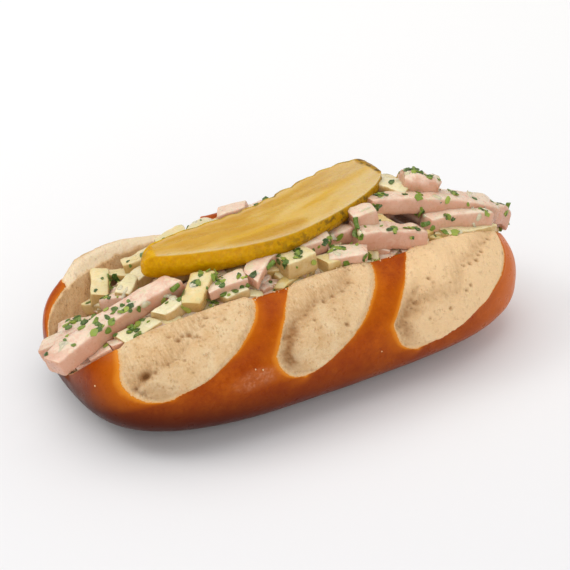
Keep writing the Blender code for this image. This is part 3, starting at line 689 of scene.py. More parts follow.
# The hollow beside a score's left edge: its place, width, depth and the base of its painted shade, then where
# it starts and ends.
TROUGH_AT, TROUGH_WIDTH, TROUGH_DEPTH, TROUGH_BASE = 4.2, 2.4, 0.8, 0.85
TROUGH_FROM, TROUGH_RUN, TROUGH_END, TROUGH_END_RUN = 0.25, 0.3, 0.78, 0.18

# The crust beside a score: how far the amber at its corner reaches, how far it glows without and with
# the amber, and the raised edge along the score.
AMBER_REACH, AMBER_SQUASH = 21.0, 0.7
GLOW_REACH, AMBER_GLOW = 0.55, 4.6
EDGE_HEIGHT, EDGE_AT, EDGE_WIDTH = 0.18, 0.6, 0.7
PIT_EASE, TEAR_EASE = 2.0, 1.6
FRONT_PIT_SHARE = 0.55
# Tears calm down this close to the rim.
RIM_CALM, RIM_CALM_SHARES = 3.5, (0.15, 1.0)

# The relief dies away towards the bun's tips.
TIP_FADE = 0.35
# The back rim has a pale strip: how pale, and how far down it goes.
PALE_STRIP, PALE_STRIP_REACH = 0.8, 6.0
# A cut face: how far its smooth rolled rim reaches, by side, and how the coarse crumb begins past it.
FACE_ROLL = {-1: 1.0, 1: 3.0}
FACE_ROLL_EDGE = 1.2
FACE_PORE_STRETCH, FACE_PORE_START, FACE_PORE_SEED = 1.4, 200.0, 150.0
FACE_EASE, FACE_RIM_REACH = 2.0, 3.0
FACE_SHELL_AT_RIM, FACE_BARE = 3.0, -9.0
FACE_INSIDE, FACE_INSIDE_FROM = 2.0, 1.7
# How dark the coarse crumb and its pores on a cut face are, as painted shade.
FACE_COARSE_DARKNESS, FACE_PORE_DARKNESS = 0.42, 0.9
FACE_STRINGS, FACE_COARSE_STRINGS = 0.2, 0.4
FACE_STRINGS_END, FACE_STRINGS_RUN = 84.0, 6.0
FACE_GLOW, FACE_GLOW_RISE, FACE_GLOW_FROM = 0.45, 0.2, 1.0
# How many rings either side of a rim are rounded off, and how often, for the front and the back.
FRONT_SOFTENING = (5, 4)
BACK_SOFTENING = (9, 24)
# Painted shade darkens the crust below this height, more so towards the left end.
UNDER_HEIGHT = 0.030
UNDER_MIDDLE, UNDER_BY_END, END_AT = 0.74, 0.44, 80.0
# A scuffed patch on the front that also holds a painted sheen: along and down from the rim, and its half
# length and half height.
SCUFF_PLACE, SCUFF_SIZE = (-40.0, 27.5), (11.0, 4.5)


def rim_reach(share, side):
    rim = FRONT_RIM if side < 0 else BACK_RIM
    return rim * fullness(share, PLAN_SQUARENESS) ** RIM_TAPER


def crown_height(side):
    return (FRONT_CROWN if side < 0 else BACK_CROWN) - BELLY_HEIGHT


def notch_height(share):
    return BELLY_HEIGHT + (NOTCH_BOTTOM - BELLY_HEIGHT) * fullness(share, SIDE_SQUARENESS)


def skin_profile(share, side):
    """Distance down the skin from the rim, with reach and height there, at a station."""
    breadth = BUN_HALF_BREADTH * fullness(share, PLAN_SQUARENESS)
    lift = fullness(share, SIDE_SQUARENESS)
    rim = min(breadth, rim_reach(share, side))
    rim_angle = math.acos((rim / breadth) ** (1.0 / SECTION_POWER)) if breadth > 0.0 else 0.0
    angle = np.linspace(rim_angle, -math.pi / 2, SKIN_ANGLES)
    reach = breadth * np.maximum(np.cos(angle), 0.0) ** SECTION_POWER
    swell = np.abs(np.sin(angle)) ** SECTION_POWER
    height = BELLY_HEIGHT + np.where(angle > 0.0, crown_height(side) * swell, -BELLY_HEIGHT * swell) * lift
    steps = np.hypot(np.diff(reach), np.diff(height))
    return np.concatenate([[0.0], np.cumsum(steps)]), reach, height


def skin_shares(near, low):
    """How far down the skin each step lies: close together by the rim, wider below."""
    return np.concatenate([np.linspace(0.0, RIM_SHARE, near + 1), np.linspace(RIM_SHARE, 1.0, low + 1)[1:]])


def skin_line(x, share, side, steps):
    """The skin's points from the rim down at a station, with how far down they lie in millimetres."""
    length, reach, height = skin_profile(share, side)
    depth = steps * length[-1]
    line = np.stack([np.full_like(depth, x), side * np.interp(depth, length, reach),
                     np.interp(depth, length, height)], 1)
    return line, depth / MM


def score_place(score, x, depth):
    """Inset from a score's edge, how far right of its left edge, and the share of its depth."""
    if depth >= score.foot_depth:
        return -math.hypot(depth - score.foot_depth, (x - score.foot) * SLANT), 0.0, 1.0
    if depth < score.corner_depth:
        left = score.left + (score.corner - score.left) * depth / score.corner_depth
    else:
        turn = (depth - score.corner_depth) / (score.foot_depth - score.corner_depth)
        left = score.corner + (score.foot - score.corner) * (1.0 - math.sqrt(1.0 - turn * turn))
    fall = (depth / score.foot_depth) ** score.sweep
    right = score.foot + (score.right - score.foot) * (1.0 - fall) ** (1.0 / score.sweep)
    inset = min(x - left, (right - x) * SLANT)
    if inset > 0.0:
        inset = min(inset, score.foot_depth - depth)
    return inset, x - left, depth / score.foot_depth


def off_tear(tear, x, depth):
    """Distance from a tear, more than nothing on its lower right side, and the furrow's depth there."""
    best, furrow, sign = math.inf, 0.0, 1.0
    for (x0, d0, deep0), (x1, d1, deep1) in zip(tear, tear[1:]):
        run_x, run_d = x1 - x0, d1 - d0
        share = ((x - x0) * run_x + (depth - d0) * run_d) / (run_x * run_x + run_d * run_d)
        share = min(1.0, max(0.0, share))
        away = math.hypot(x - x0 - share * run_x, depth - d0 - share * run_d)
        if away < best:
            best = away
            furrow = deep0 + (deep1 - deep0) * share
            sign = 1.0 if run_x * (depth - d0) - run_d * (x - x0) > 0.0 else -1.0
    return best * sign, furrow


def pores(x, depth, seed, share):
    """Height and painted shade of scattered small pores, in millimetres."""
    height, dark = 0.0, 0.0
    for pitch, reach, deep in PORES:
        gaps, centres = noise.voronoi((x / pitch, depth / pitch, seed))
        if noise.cell(centres[0] * PORE_DRAW) < share:
            hollow = smooth_step(1.0 - gaps[0] / reach)
            height -= deep * hollow
            dark = max(dark, PORE_DARKNESS * hollow)
    return height, dark


def beside_tear(away, furrow):
    """Height and stringiness at a distance from a tear."""
    if away > 0.0:
        return LIP_HEIGHT * math.exp(-away / LIP_REACH) * smooth_step(away / LIP_EDGE), 0.0
    height = -furrow * blend(FURROW_SHARES, math.exp(away / FURROW_REACH)) * smooth_step(-away / FURROW_EDGE)
    height *= smooth_step(1.0 + away / FURROW_RUN)
    return height, smooth_step(-away / STRINGS_EDGE) * smooth_step(1.0 + away / STRINGS_RUN)


def torn_crumb(number, x, depth, low, from_left, inset):
    """Height, painted shade and stringiness of a score's crumb at a point, in millimetres."""
    bent_x = ripples(x, depth, TEAR_BEND_ALONG, x)
    bent_d = ripples(x, depth, TEAR_BEND_DOWN, depth)
    away, furrow = off_tear(TEARS[number], bent_x, bent_d)
    height, strings = beside_tear(away, furrow)
    dark = FURROW_DARKNESS * min(1.0, furrow) * bell(away + FURROW_DARK_AT, FURROW_DARK_WIDTH)
    dark *= ripples(x, depth, FURROW_PATCHES, FURROW_DARK_BASE)
    fibre = ripple(x + FIBRE_LEAN * depth, depth * FIBRE_STRETCH, FIBRE_SEED, FIBRE_PITCH)
    height += strings * FIBRE_HEIGHT * fibre
    dark += strings * FIBRE_DARKNESS * smooth_step(-fibre * FIBRE_SHARPNESS)
    pore_height, pore_dark = pores(x, depth, PORE_SEED + number, LIP_PORES if away > 0.0 else FURROW_PORES)
    height += pore_height
    dark = max(dark, pore_dark)
    for hole_x, hole_d, radius in HOLES[number]:
        if abs(hole_x - bent_x) < HOLE_ROOM and abs(hole_d - bent_d) < HOLE_ROOM:
            reach = math.hypot(hole_x - x - HOLE_WANDER * (bent_x - x),
                               (hole_d - depth - HOLE_WANDER * (bent_d - depth)) * HOLE_SQUASH)
            hollow = smooth_step(HOLE_EDGE - reach / radius)
            height -= HOLE_DEPTH * radius * hollow
            dark = max(dark, min(1.0, HOLE_DARKNESS + HOLE_DARKNESS_BY_RADIUS * radius) * hollow)
    for curl_x, curl_d, radius in CURLS[number]:
        ring = math.hypot(curl_x - x, (curl_d - depth) * CURL_SQUASH) - radius
        open_side = smooth_step((curl_d + CURL_OPENING - depth) / CURL_OPEN_RUN)
        height += (CURL_HEIGHT * bell(ring, CURL_WIDTH) * open_side
                   - CURL_DEPTH * smooth_step(-ring / CURL_DEPTH_RUN))
    corner = smooth_step(1.0 - from_left / CORNER_REACH) * smooth_step(inset / CORNER_EDGE)
    corner *= blend(CORNER_SHARES, smooth_step(low))
    shade = CORNER_SHADES[number] * corner * rise(low, CORNER_FROM, CORNER_RUN)
    shade *= 1.0 - CORNER_END_LOSS * rise(low, CORNER_END, CORNER_END_RUN)
    dark = max(dark, shade * ripples(x, depth, CORNER_PATCHES, CORNER_BASE))
    trough = bell(ripples(x, depth, TROUGH_WANDER, from_left - TROUGH_AT), TROUGH_WIDTH)
    trough *= (rise(low, TROUGH_FROM, TROUGH_RUN) * (1.0 - rise(low, TROUGH_END, TROUGH_END_RUN))
               * TROUGHS[number])
    dark = max(dark, trough * ripples(x, depth, TROUGH_PATCHES, TROUGH_BASE))
    height -= TROUGH_DEPTH * trough
    height += ripples(x, depth, CRUMB_GRAIN)
    return height, dark, strings


def skin_fields(x, depth, side):
    """Relief and the shell, pit, strings and glow fields of the skin, in millimetres, where pit is painted
    shade in the crumb's hollows: x runs along, and depth down from the rim."""
    bent_x = ripples(x, depth, EDGE_WANDER[side], x)
    bent_d = ripples(x, depth, DEPTH_WANDER[side], depth)
    scores = FRONT_SCORES if side < 0 else BACK_SCORES
    best, found = -math.inf, None
    amber = 0.0
    along = -side * bent_x
    for number, score in enumerate(scores):
        inset, from_left, low = score_place(score, along * MM, max(0.0, bent_d) * MM)
        if inset / MM > best:
            best, found = inset / MM, (number, low, from_left / MM)
        corner = math.hypot(along - score.corner / MM, (bent_d - score.corner_depth / MM) * AMBER_SQUASH)
        amber = max(amber, smooth_step(1.0 - corner / AMBER_REACH))
    height = ripples(x, depth, CRUST_WAVES[side])
    glow = math.exp(min(0.0, best) / (GLOW_REACH + AMBER_GLOW * amber))
    if best <= 0.0:
        return height + EDGE_HEIGHT * bell(best + EDGE_AT, EDGE_WIDTH), best, 0.0, 0.0, glow
    number, low, from_left = found
    score, form, front = scores[number], scores[number].relief, FRONT_SCORES[number]
    stretch = (front.right - front.left) / (score.right - score.left)
    place = (-side * x - score.left / MM) * stretch + front.left / MM
    torn, dark, strings = torn_crumb(number, place, depth, low, from_left, best)
    near_left = smooth_step(1.0 - from_left * MM / form.pit_reach) * smooth_step(best / PIT_EASE)
    share = form.pit_at_rim + (1.0 - form.pit_at_rim) * smooth_step(low)
    sunk = form.pit / MM * near_left * share * (FRONT_PIT_SHARE if side < 0 else 1.0)
    swell = form.swell / MM * smooth_step(best * MM / form.rise)
    ease = smooth_step(best / TEAR_EASE)
    torn *= blend(RIM_CALM_SHARES, smooth_step(depth / RIM_CALM))
    return height + swell - sunk + torn * ease, best, dark * ease, strings * ease, glow


def face_fields(x, side, from_rim, rim):
    """What skin_fields gives, for a point on a cut face at a distance from the rim."""
    raised, shell = rim[:2]
    pore_height, pore_dark = pores(x, from_rim * FACE_PORE_STRETCH + FACE_PORE_START, FACE_PORE_SEED + side,
                                   FACE_PORES)
    rough = ripples(x, from_rim, FACE_GRAIN, pore_height)
    wave = sum(height * ripple(x, side, from_rim, pitch) for height, pitch in FACE_WAVES)
    inner = smooth_step(from_rim / FACE_EASE)
    past_roll = ripples(x, from_rim, FACE_ROLL_WANDER, from_rim - FACE_ROLL[side])
    coarse = smooth_step(past_roll / FACE_ROLL_EDGE)
    relief = (rough + wave) * inner + raised * math.exp(-from_rim / FACE_RIM_REACH)
    crust = CRUST_THICKNESS + (END_ROLL * rise(-x, -END_ROLL_FROM, END_ROLL_RUN) if side > 0 else 0.0)
    crust = ripples(x, from_rim, FACE_CRUST_WANDER, crust)
    covered = min(shell, FACE_SHELL_AT_RIM) if shell > 0.0 else FACE_BARE
    inside = FACE_INSIDE if from_rim > crust + FACE_INSIDE_FROM else 0.0
    pale = PALE_STRIP * (1.0 - coarse) if side > 0 else 0.0
    pit = max(FACE_COARSE_DARKNESS * coarse, FACE_PORE_DARKNESS * pore_dark * inner) - pale
    strings = FACE_STRINGS + FACE_COARSE_STRINGS * coarse
    strings *= smooth_step((FACE_STRINGS_END - abs(x)) / FACE_STRINGS_RUN)
    glow = min(1.0, FACE_GLOW + FACE_GLOW_RISE * max(0.0, from_rim - FACE_GLOW_FROM))
    return relief, max(from_rim - crust, covered) + inside, pit, strings, glow


def soften_rim(points, rim, reach, passes):
    """Rounds the ring of points off near one of the rims."""
    around = points.shape[1]
    steps = [(rim + k) % around for k in range(-reach, reach + 1)]
    for _ in range(passes):
        before = [(k - 1) % around for k in steps]
        after = [(k + 1) % around for k in steps]
        points[:, steps] = (points[:, before] + 2.0 * points[:, steps] + points[:, after]) / 4.0


def build_bun(finish):
    """Rings round the bun: down the front skin, up the back skin, then down and up the notch's two faces."""
    turns = np.linspace(-0.5, 0.5, STATIONS + 1) * math.pi * TIP_SPACING
    shares = np.sin(turns) / math.sin(0.5 * math.pi * TIP_SPACING)
    front_steps = skin_shares(RIM_STEPS, LOW_STEPS)
    back_steps = skin_shares(BACK_RIM_STEPS, BACK_LOW_STEPS)
    back_rim = len(front_steps) + len(back_steps) - 2
    around = back_rim + 2 * FACE_STEPS
    points = np.zeros((STATIONS + 1, around, 3))
    relief = np.zeros((STATIONS + 1, around))
    drawn = ("shell", "pit", "strings", "glow")
    fields = {name: np.zeros((STATIONS + 1, around)) for name in (*drawn, "under", "scuff", "along", "down")}
    ways = np.arange(1, FACE_STEPS)[:, None] / FACE_STEPS

    def keep(i, j, found, down, fade):
        relief[i, j] = found[0] * fade
        for name, value in zip(drawn, found[1:]):
            fields[name][i, j] = value
        fields["down"][i, j] = down

    for i, share in enumerate(shares):
        x = share * BUN_HALF_LENGTH
        front, front_depth = skin_line(x, share, -1, front_steps)
        back, back_depth = skin_line(x, share, 1, back_steps)
        bottom = np.array([x, 0.0, notch_height(share)])
        down = back[0] + (bottom - back[0]) * ways
        climb = front[0] + (bottom - front[0]) * ways
        points[i] = np.concatenate([front, back[-2::-1], down, bottom[None], climb[::-1]])
        fade = smooth_step(fullness(share, PLAN_SQUARENESS) / TIP_FADE)
        rims = {}
        for side, depths, first in ((-1, front_depth, 0), (1, back_depth[-2::-1], len(front_depth))):
            for j, depth in enumerate(depths, first):
                found = skin_fields(x / MM, depth, side)
                keep(i, j, found, depth, fade)
                if side > 0:
                    fields["pit"][i, j] -= PALE_STRIP * smooth_step(1.0 - depth / PALE_STRIP_REACH)
                if depth == 0.0:
                    rims[side] = found
        for side, rim in ((1, back[0]), (-1, front[0])):
            run = np.linalg.norm(rim - bottom) / MM
            for step in range(1, FACE_STEPS + (side > 0)):
                from_rim = run * step / FACE_STEPS
                found = face_fields(x / MM, side, from_rim, rims[side])
                keep(i, back_rim + step if side > 0 else around - step, found, -from_rim, fade)
    fields["along"][:] = points[:, :, 0] / MM
    soften_rim(points, 0, *FRONT_SOFTENING)
    soften_rim(points, back_rim, *BACK_SOFTENING)
    points -= grid_normals(points) * relief[:, :, None] * MM
    points[:, :, 2] = np.maximum(points[:, :, 2], REST_SINK) - REST_SINK
    rightward = np.clip(fields["along"] / END_AT, -1.0, 1.0)
    on_crust = fields["shell"] < 0.0
    # Painted shade on the crust below UNDER_HEIGHT, weaker towards the right end.
    fields["under"] = np.clip((UNDER_HEIGHT - points[:, :, 2]) / UNDER_HEIGHT, 0.0, 1.0) * on_crust
    fields["under"] *= UNDER_MIDDLE - UNDER_BY_END * rightward
    scuff = np.hypot((fields["along"] - SCUFF_PLACE[0]) / SCUFF_SIZE[0],
                     (fields["down"] - SCUFF_PLACE[1]) / SCUFF_SIZE[1])
    fields["scuff"] = np.clip(1.0 - scuff, 0.0, 1.0) * (points[:, :, 1] < 0.0)
    return make_piece("pretzel_bun", wrapped_grid(points, fields), finish, "bun")


# ---------------------------------------------------------------- salad

Bar = namedtuple("Bar", "kind start end width thickness bow")
BARS = (
    Bar("sausage", (-0.0950, -0.0118, 0.0292), (-0.0497, -0.0104, 0.0458), 0.0080, 0.0066, 0.0006),
    Bar("sausage", (-0.0905, 0.0085, 0.0230), (-0.0740, -0.0010, 0.0290), 0.0078, 0.0070, 0.0000),
    Bar("sausage", (-0.0825, 0.0120, 0.0240), (-0.0690, 0.0020, 0.0305), 0.0078, 0.0072, 0.0000),
    Bar("cheese", (-0.0605, 0.0275, 0.0340), (-0.0675, 0.0125, 0.0330), 0.0066, 0.0062, 0.0000),
    Bar("cheese", (-0.0600, 0.0280, 0.0340), (-0.0510, 0.0140, 0.0380), 0.0055, 0.0028, 0.0000),
    Bar("cheese", (-0.0690, 0.0210, 0.0270), (-0.0630, 0.0110, 0.0310), 0.0078, 0.0055, 0.0000),
    Bar("cheese", (-0.0545, 0.0205, 0.0385), (-0.0465, 0.0145, 0.0415), 0.0072, 0.0064, 0.0000),
    Bar("cheese", (-0.0570, 0.0080, 0.0415), (-0.0638, 0.0015, 0.0390), 0.0056, 0.0034, 0.0010),
    Bar("sausage", (-0.0670, 0.0100, 0.0330), (-0.0615, 0.0010, 0.0380), 0.0058, 0.0054, 0.0000),
    Bar("cheese", (-0.0605, -0.0190, 0.0400), (-0.0520, -0.0175, 0.0425), 0.0062, 0.0054, 0.0000),
    Bar("cheese", (-0.0650, -0.0170, 0.0370), (-0.0540, -0.0215, 0.0395), 0.0072, 0.0032, 0.0000),
    Bar("cheese", (-0.0740, -0.0185, 0.0342), (-0.0610, -0.0190, 0.0382), 0.0074, 0.0054, 0.0000),
    Bar("cheese", (-0.0405, -0.0135, 0.0465), (-0.0505, -0.0222, 0.0425), 0.0078, 0.0066, 0.0000),
    Bar("sausage", (-0.0430, -0.0200, 0.0445), (-0.0290, -0.0205, 0.0465), 0.0060, 0.0042, 0.0000),
    Bar("cheese", (-0.0395, -0.0225, 0.0425), (-0.0310, -0.0230, 0.0435), 0.0050, 0.0036, 0.0000),
    Bar("sausage", (-0.0140, -0.0130, 0.0490), (-0.0280, -0.0220, 0.0460), 0.0076, 0.0038, 0.0010),
    Bar("cheese", (-0.0150, -0.0210, 0.0465), (-0.0040, -0.0210, 0.0475), 0.0080, 0.0072, 0.0000),
    Bar("cheese", (-0.0010, -0.0235, 0.0445), (0.0075, -0.0240, 0.0450), 0.0066, 0.0046, 0.0000),
    Bar("sausage", (-0.0100, -0.0140, 0.0475), (0.0070, -0.0150, 0.0490), 0.0076, 0.0056, 0.0000),
    Bar("sausage", (0.0030, -0.0215, 0.0460), (0.0165, -0.0255, 0.0455), 0.0084, 0.0036, 0.0005),
    Bar("sausage", (0.0180, -0.0130, 0.0515), (0.0265, -0.0150, 0.0535), 0.0078, 0.0078, 0.0000),
    Bar("sausage", (0.0165, -0.0165, 0.0478), (0.0405, -0.0245, 0.0448), 0.0088, 0.0078, 0.0005),
    Bar("sausage", (0.0290, -0.0065, 0.0525), (0.0800, -0.0150, 0.0408), 0.0090, 0.0070, 0.0032),
    Bar("sausage", (0.0745, -0.0165, 0.0410), (0.0895, -0.0115, 0.0325), 0.0086, 0.0076, 0.0020),
    Bar("sausage", (0.0465, -0.0190, 0.0460), (0.0730, -0.0205, 0.0420), 0.0072, 0.0066, 0.0005),
    Bar("cheese", (0.0500, -0.0225, 0.0425), (0.0750, -0.0220, 0.0385), 0.0062, 0.0032, 0.0000),
    Bar("sausage", (0.0462, -0.0030, 0.0565), (0.0585, -0.0095, 0.0535), 0.0086, 0.0076, 0.0010),
    Bar("cheese", (0.0410, 0.0040, 0.0535), (0.0480, -0.0070, 0.0530), 0.0090, 0.0054, 0.0000),
    Bar("sausage", (-0.0130, 0.0255, 0.0445), (-0.0040, 0.0210, 0.0480), 0.0070, 0.0062, 0.0000),
    Bar("cheese", (-0.0410, 0.0205, 0.0430), (-0.0300, 0.0190, 0.0455), 0.0078, 0.0054, 0.0000),
)
TOP_CHUNK = 26
# A hollow among the bars, with painted shade inside.
CAVITY = Vector((0.0405, -0.0140, 0.0475))
CAVITY_REACH = 0.0095
ROW_SEED = 11
ROWS_ACROSS = (-0.012, 0.000, 0.011, 0.022)
ROW_PITCH = 0.0175
ROW_RANGE = (-0.052, 0.078)
SAUSAGE_SHARE = 0.62
HALF_CHEESE, HALF_SAUSAGE = (0.005, 0.008), (0.007, 0.013)
ROW_HEADING = 0.9
ROW_END_ROOM = 0.006
ROW_LIFT = (-0.0005, 0.0015)
ROW_WIDTH, ROW_FLATNESS, ROW_SPACING = (0.0060, 0.0085), (0.6, 0.9), (0.8, 1.2)

# How far bars stray from straight: draws of sideways bend as a share of length, twist, skew of the ends,
# and taper.
BEND_SEED = 1000
BAR_BEND, BAR_TWIST, BAR_SKEW, BAR_TAPER = 0.055, 0.35, 0.45, 0.20
# A bar's mesh: its rings' spacing in millimetres, the fewest rings, and the cuts across a face of a
# listed bar and of a small strip. The cuts crowd towards the edges by this power.
RING_SPACING, FEWEST_RINGS = 0.95, 6
BAR_CUTS, STRIP_CUTS = 8, 6
EDGE_CROWDING = 1.7
BAR_CORNER = 7.0
CHUNK_CORNER, CHUNK_RAGGEDNESS = 3.2, 2.8
# A bar's ends: how long the rounding is, the share of it at most, how much they draw in, and how far
# from an end, in millimetres, the rings close up and by what share.
END_ROUNDING, END_ROUNDING_SHARE, END_DRAW_IN = 1.4, 0.3, 0.10
END_CLOSE, END_CLOSE_SHARE = 1.3, 0.3
# Ripples of a bar's thickness and of its surface: height and pitch, in millimetres.
BAR_UNEVENNESS, UNEVEN_PITCH, UNEVEN_STRETCH, UNEVEN_SEED = 0.13, 7.0, 3.0, 7.0
BAR_ROUGHNESS = ((0.42, 6.5), (0.22, 2.6))
BAR_FINE_ROUGHNESS, BAR_FINE_PITCH = 0.12, 1.2
BAR_SEED_STEP = 31.0
# How much dressing lies on a bar by its slope, more as painted light on faces that look up, and where a face
# counts as steep for painted shade.
FILM_MIDDLE, FILM_BY_SLOPE, FILM_PATCHES, FILM_PITCH = 0.5, 0.42, 0.5, 7.0
STEEP_FROM, STEEP_RUN = 0.80, 0.7
# How far small strips sink into the hollow, and the painted shade they take there.
CAVITY_DROP, CAVITY_FILM = 5.0, -1.0
# How far the core sinks there, and its painted shade.
CORE_CAVITY_DROP, CORE_CAVITY_GAP = 4.0, 1.3

# Small strips: how many, where along the bun, and the shares of the way from the front cut face to the
# back one that are drawn from.
STRIP_SEED, STRIPS = 23, 280
STRIP_RANGE = (-0.070, 0.086)
STRIP_SHARES = ((0.0, 0.07), (0.03, 0.18), (0.05, 0.95), (0.80, 1.0))
STRIP_HALF, STRIP_HEADING, STRIP_TURNED, STRIP_STRAIGHT_SHARE = (0.0022, 0.0050), 0.7, 1.3, 0.7
STRIP_SINK, STRIP_LIFT = 0.0008, (-0.0010, 0.0012)
STRIP_WIDTH, STRIP_FLATNESS, STRIP_BOW, STRIP_SAUSAGE = (0.0026, 0.0050), (0.45, 0.9), (0.0, 0.0008), 0.55
# The strips laid end to end along the rims: side and start, then where they stop and their sizes.
RIM_ROWS, RIM_ROW_END = ((-1, -0.0835), (1, -0.0440)), 0.079
RIM_LENGTH, RIM_INWARD, RIM_LIFT = (0.0060, 0.0115), (0.0016, 0.0030), (-0.0012, 0.0004)
RIM_SAUSAGE_UNTIL, RIM_SAUSAGE = -0.060, 0.6
RIM_WIDTH, RIM_THICKNESS, RIM_SPACING = (0.0036, 0.0052), (0.0028, 0.0040), (0.75, 1.05)
LEFT_STRIP = Bar("sausage", (-0.0860, -0.0088, 0.0250), (-0.0815, -0.0158, 0.0278), 0.0044, 0.0034, 0.0)

# The core: its stations, steps over its top and steps down the notch, how far it stands off the bun,
# and its lumps, in millimetres.
CORE_STATIONS, CORE_OVER, CORE_DOWN = 200, 110, 24
CORE_OFF_BOTTOM, CORE_TOP_SHARE, CORE_FACE_SHARE = 0.0008, 0.985, 0.97
CORE_EDGE, CORE_LUMP, CORE_SINK = 0.1, 1.4, 3.0
CORE_LUMPS = ((1.0, 5.0, 5.5), (0.5, 9.0, 2.2))
# Painted shade in the core's low places: how dark, from which lump height and over what run.
CORE_GAP, CORE_GAP_FROM, CORE_GAP_RUN = 0.55, 0.35, 0.8


def half_rim(x, side):
    """The rim's reach and height at a place along the bun."""
    share = within(x / BUN_HALF_LENGTH, -1.0, 1.0)
    breadth = BUN_HALF_BREADTH * fullness(share, PLAN_SQUARENESS)
    if breadth <= 0.0:
        return 0.0, BELLY_HEIGHT
    rim = min(breadth, rim_reach(share, side))
    angle = math.acos((rim / breadth) ** (1.0 / SECTION_POWER))
    lift = math.sin(angle) ** SECTION_POWER
    return side * rim, BELLY_HEIGHT + crown_height(side) * lift * fullness(share, SIDE_SQUARENESS)


def contact(x, side):
    """Where the salad's top meets a cut face."""
    rim_y, rim_z = half_rim(x, side)
    reach = blend(FRONT_FILL if side < 0 else BACK_FILL, rise(x, CORE_LEFT, FULL_FROM - CORE_LEFT))
    bottom = notch_height(within(x / BUN_HALF_LENGTH, -1.0, 1.0))
    return rim_y * reach, bottom + (rim_z - bottom) * reach


def heap_top(x, y):
    """Height of the salad core's top."""
    front_y, front_z = contact(x, -1)
    back_y, back_z = contact(x, 1)
    share = (y - front_y) / max(back_y - front_y, 1e-6)
    edge = front_z + (back_z - front_z) * within(share, 0.0, 1.0)
    round_off = max(0.0, 1.0 - abs(2.0 * share - 1.0) ** CREST_POWER)
    return edge + (between(CREST, x) - edge) * round_off


def in_cavity(distance):
    """1 inside the hollow among the bars and 0 outside it."""
    return smooth_step(2.0 - 2.0 * distance / CAVITY_REACH)


def heading_run(heading):
    return Vector((math.cos(heading), math.sin(heading)))


def row_bars():
    """Bars that fill the heap in rows, each laid on the core at a drawn angle."""
    draw = random.Random(ROW_SEED)
    bars = []
    for y in ROWS_ACROSS:
        x = ROW_RANGE[0] + ROW_PITCH * draw.random()
        while x < ROW_RANGE[1]:
            kind = "sausage" if draw.random() < SAUSAGE_SHARE else "cheese"
            half = draw.uniform(*(HALF_CHEESE if kind == "cheese" else HALF_SAUSAGE))
            run = heading_run(draw.uniform(-ROW_HEADING, ROW_HEADING))
            ends = []
            for way in (-1, 1):
                end_x = within(x + way * half * run.x, CORE_LEFT + ROW_END_ROOM, CORE_RIGHT - ROW_END_ROOM)
                end_y = y + way * half * run.y
                ends.append((end_x, end_y, heap_top(end_x, end_y) + draw.uniform(*ROW_LIFT)))
            width = draw.uniform(*ROW_WIDTH)
            bars.append(Bar(kind, *ends, width, width * draw.uniform(*ROW_FLATNESS), 0.0))
            x += ROW_PITCH * draw.uniform(*ROW_SPACING)
    return bars


def strip_bars():
    """Short torn strips of sausage and cheese that lie in the gaps along both rims and between the rows."""
    draw = random.Random(STRIP_SEED)
    bars = []
    for _ in range(STRIPS):
        x = draw.uniform(*STRIP_RANGE)
        front_y = contact(x, -1)[0]
        back_y = contact(x, 1)[0]
        share = draw.choice([draw.uniform(*limits) for limits in STRIP_SHARES])
        y = front_y + (back_y - front_y) * share
        half = draw.uniform(*STRIP_HALF)
        heading = draw.uniform(-STRIP_HEADING, STRIP_HEADING)
        run = heading_run(heading + (0.0 if draw.random() < STRIP_STRAIGHT_SHARE else STRIP_TURNED))
        ends = []
        for way in (-1, 1):
            end_x, end_y = x + way * half * run.x, y + way * half * run.y
            ends.append((end_x, end_y, heap_top(end_x, end_y) - STRIP_SINK + draw.uniform(*STRIP_LIFT)))
        width = draw.uniform(*STRIP_WIDTH)
        kind = "sausage" if draw.random() < STRIP_SAUSAGE else "cheese"
        bars.append(Bar(kind, *ends, width, width * draw.uniform(*STRIP_FLATNESS), draw.uniform(*STRIP_BOW)))
    for side, x in RIM_ROWS:
        while x < RIM_ROW_END:
            length = draw.uniform(*RIM_LENGTH)
            ends = []
            for end_x in (x, x + length):
                y, z = contact(end_x, side)
                ends.append((end_x, y - side * draw.uniform(*RIM_INWARD), z + draw.uniform(*RIM_LIFT)))
            kind = "sausage" if x < RIM_SAUSAGE_UNTIL or draw.random() < RIM_SAUSAGE else "cheese"
            bars.append(Bar(kind, *ends, draw.uniform(*RIM_WIDTH), draw.uniform(*RIM_THICKNESS), 0.0))
            x += length * draw.uniform(*RIM_SPACING)
    return bars + [LEFT_STRIP]


def bar_frame(bar):
    """The bar's own frame: its middle, its length along X and its top towards +Z."""
    start = Vector(bar.start)
    end = Vector(bar.end)
    along = (end - start).normalized()
    across = Vector((0.0, 0.0, 1.0)).cross(along).normalized()
    turn = Matrix((along, across, along.cross(across))).transposed().to_4x4()
    return Matrix.Translation((start + end) / 2) @ turn, (end - start).length


def crowd_to_edges(place):
    """Moves a cut across a face of a unit cube towards the nearer edge."""
    return math.copysign(0.5 - 0.5 * (1.0 - abs(2.0 * place)) ** EDGE_CROWDING, place)


def cut_cube(length, cuts):
    """A unit cube with rings along X and cuts across its sides and ends."""
    part = bmesh.new()
    bmesh.ops.create_cube(part, size=1.0)
    lengthwise = [edge for edge in part.edges if abs(edge.verts[0].co.x - edge.verts[1].co.x) > 0.5]
    rings = max(FEWEST_RINGS, round(length / MM / RING_SPACING))
    bmesh.ops.subdivide_edges(part, edges=lengthwise, cuts=rings)
    crosswise = [edge for edge in part.edges if abs(edge.verts[0].co.x - edge.verts[1].co.x) < 1e-4]
    bmesh.ops.subdivide_edges(part, edges=crosswise, cuts=cuts, use_grid_fill=True)
    return part


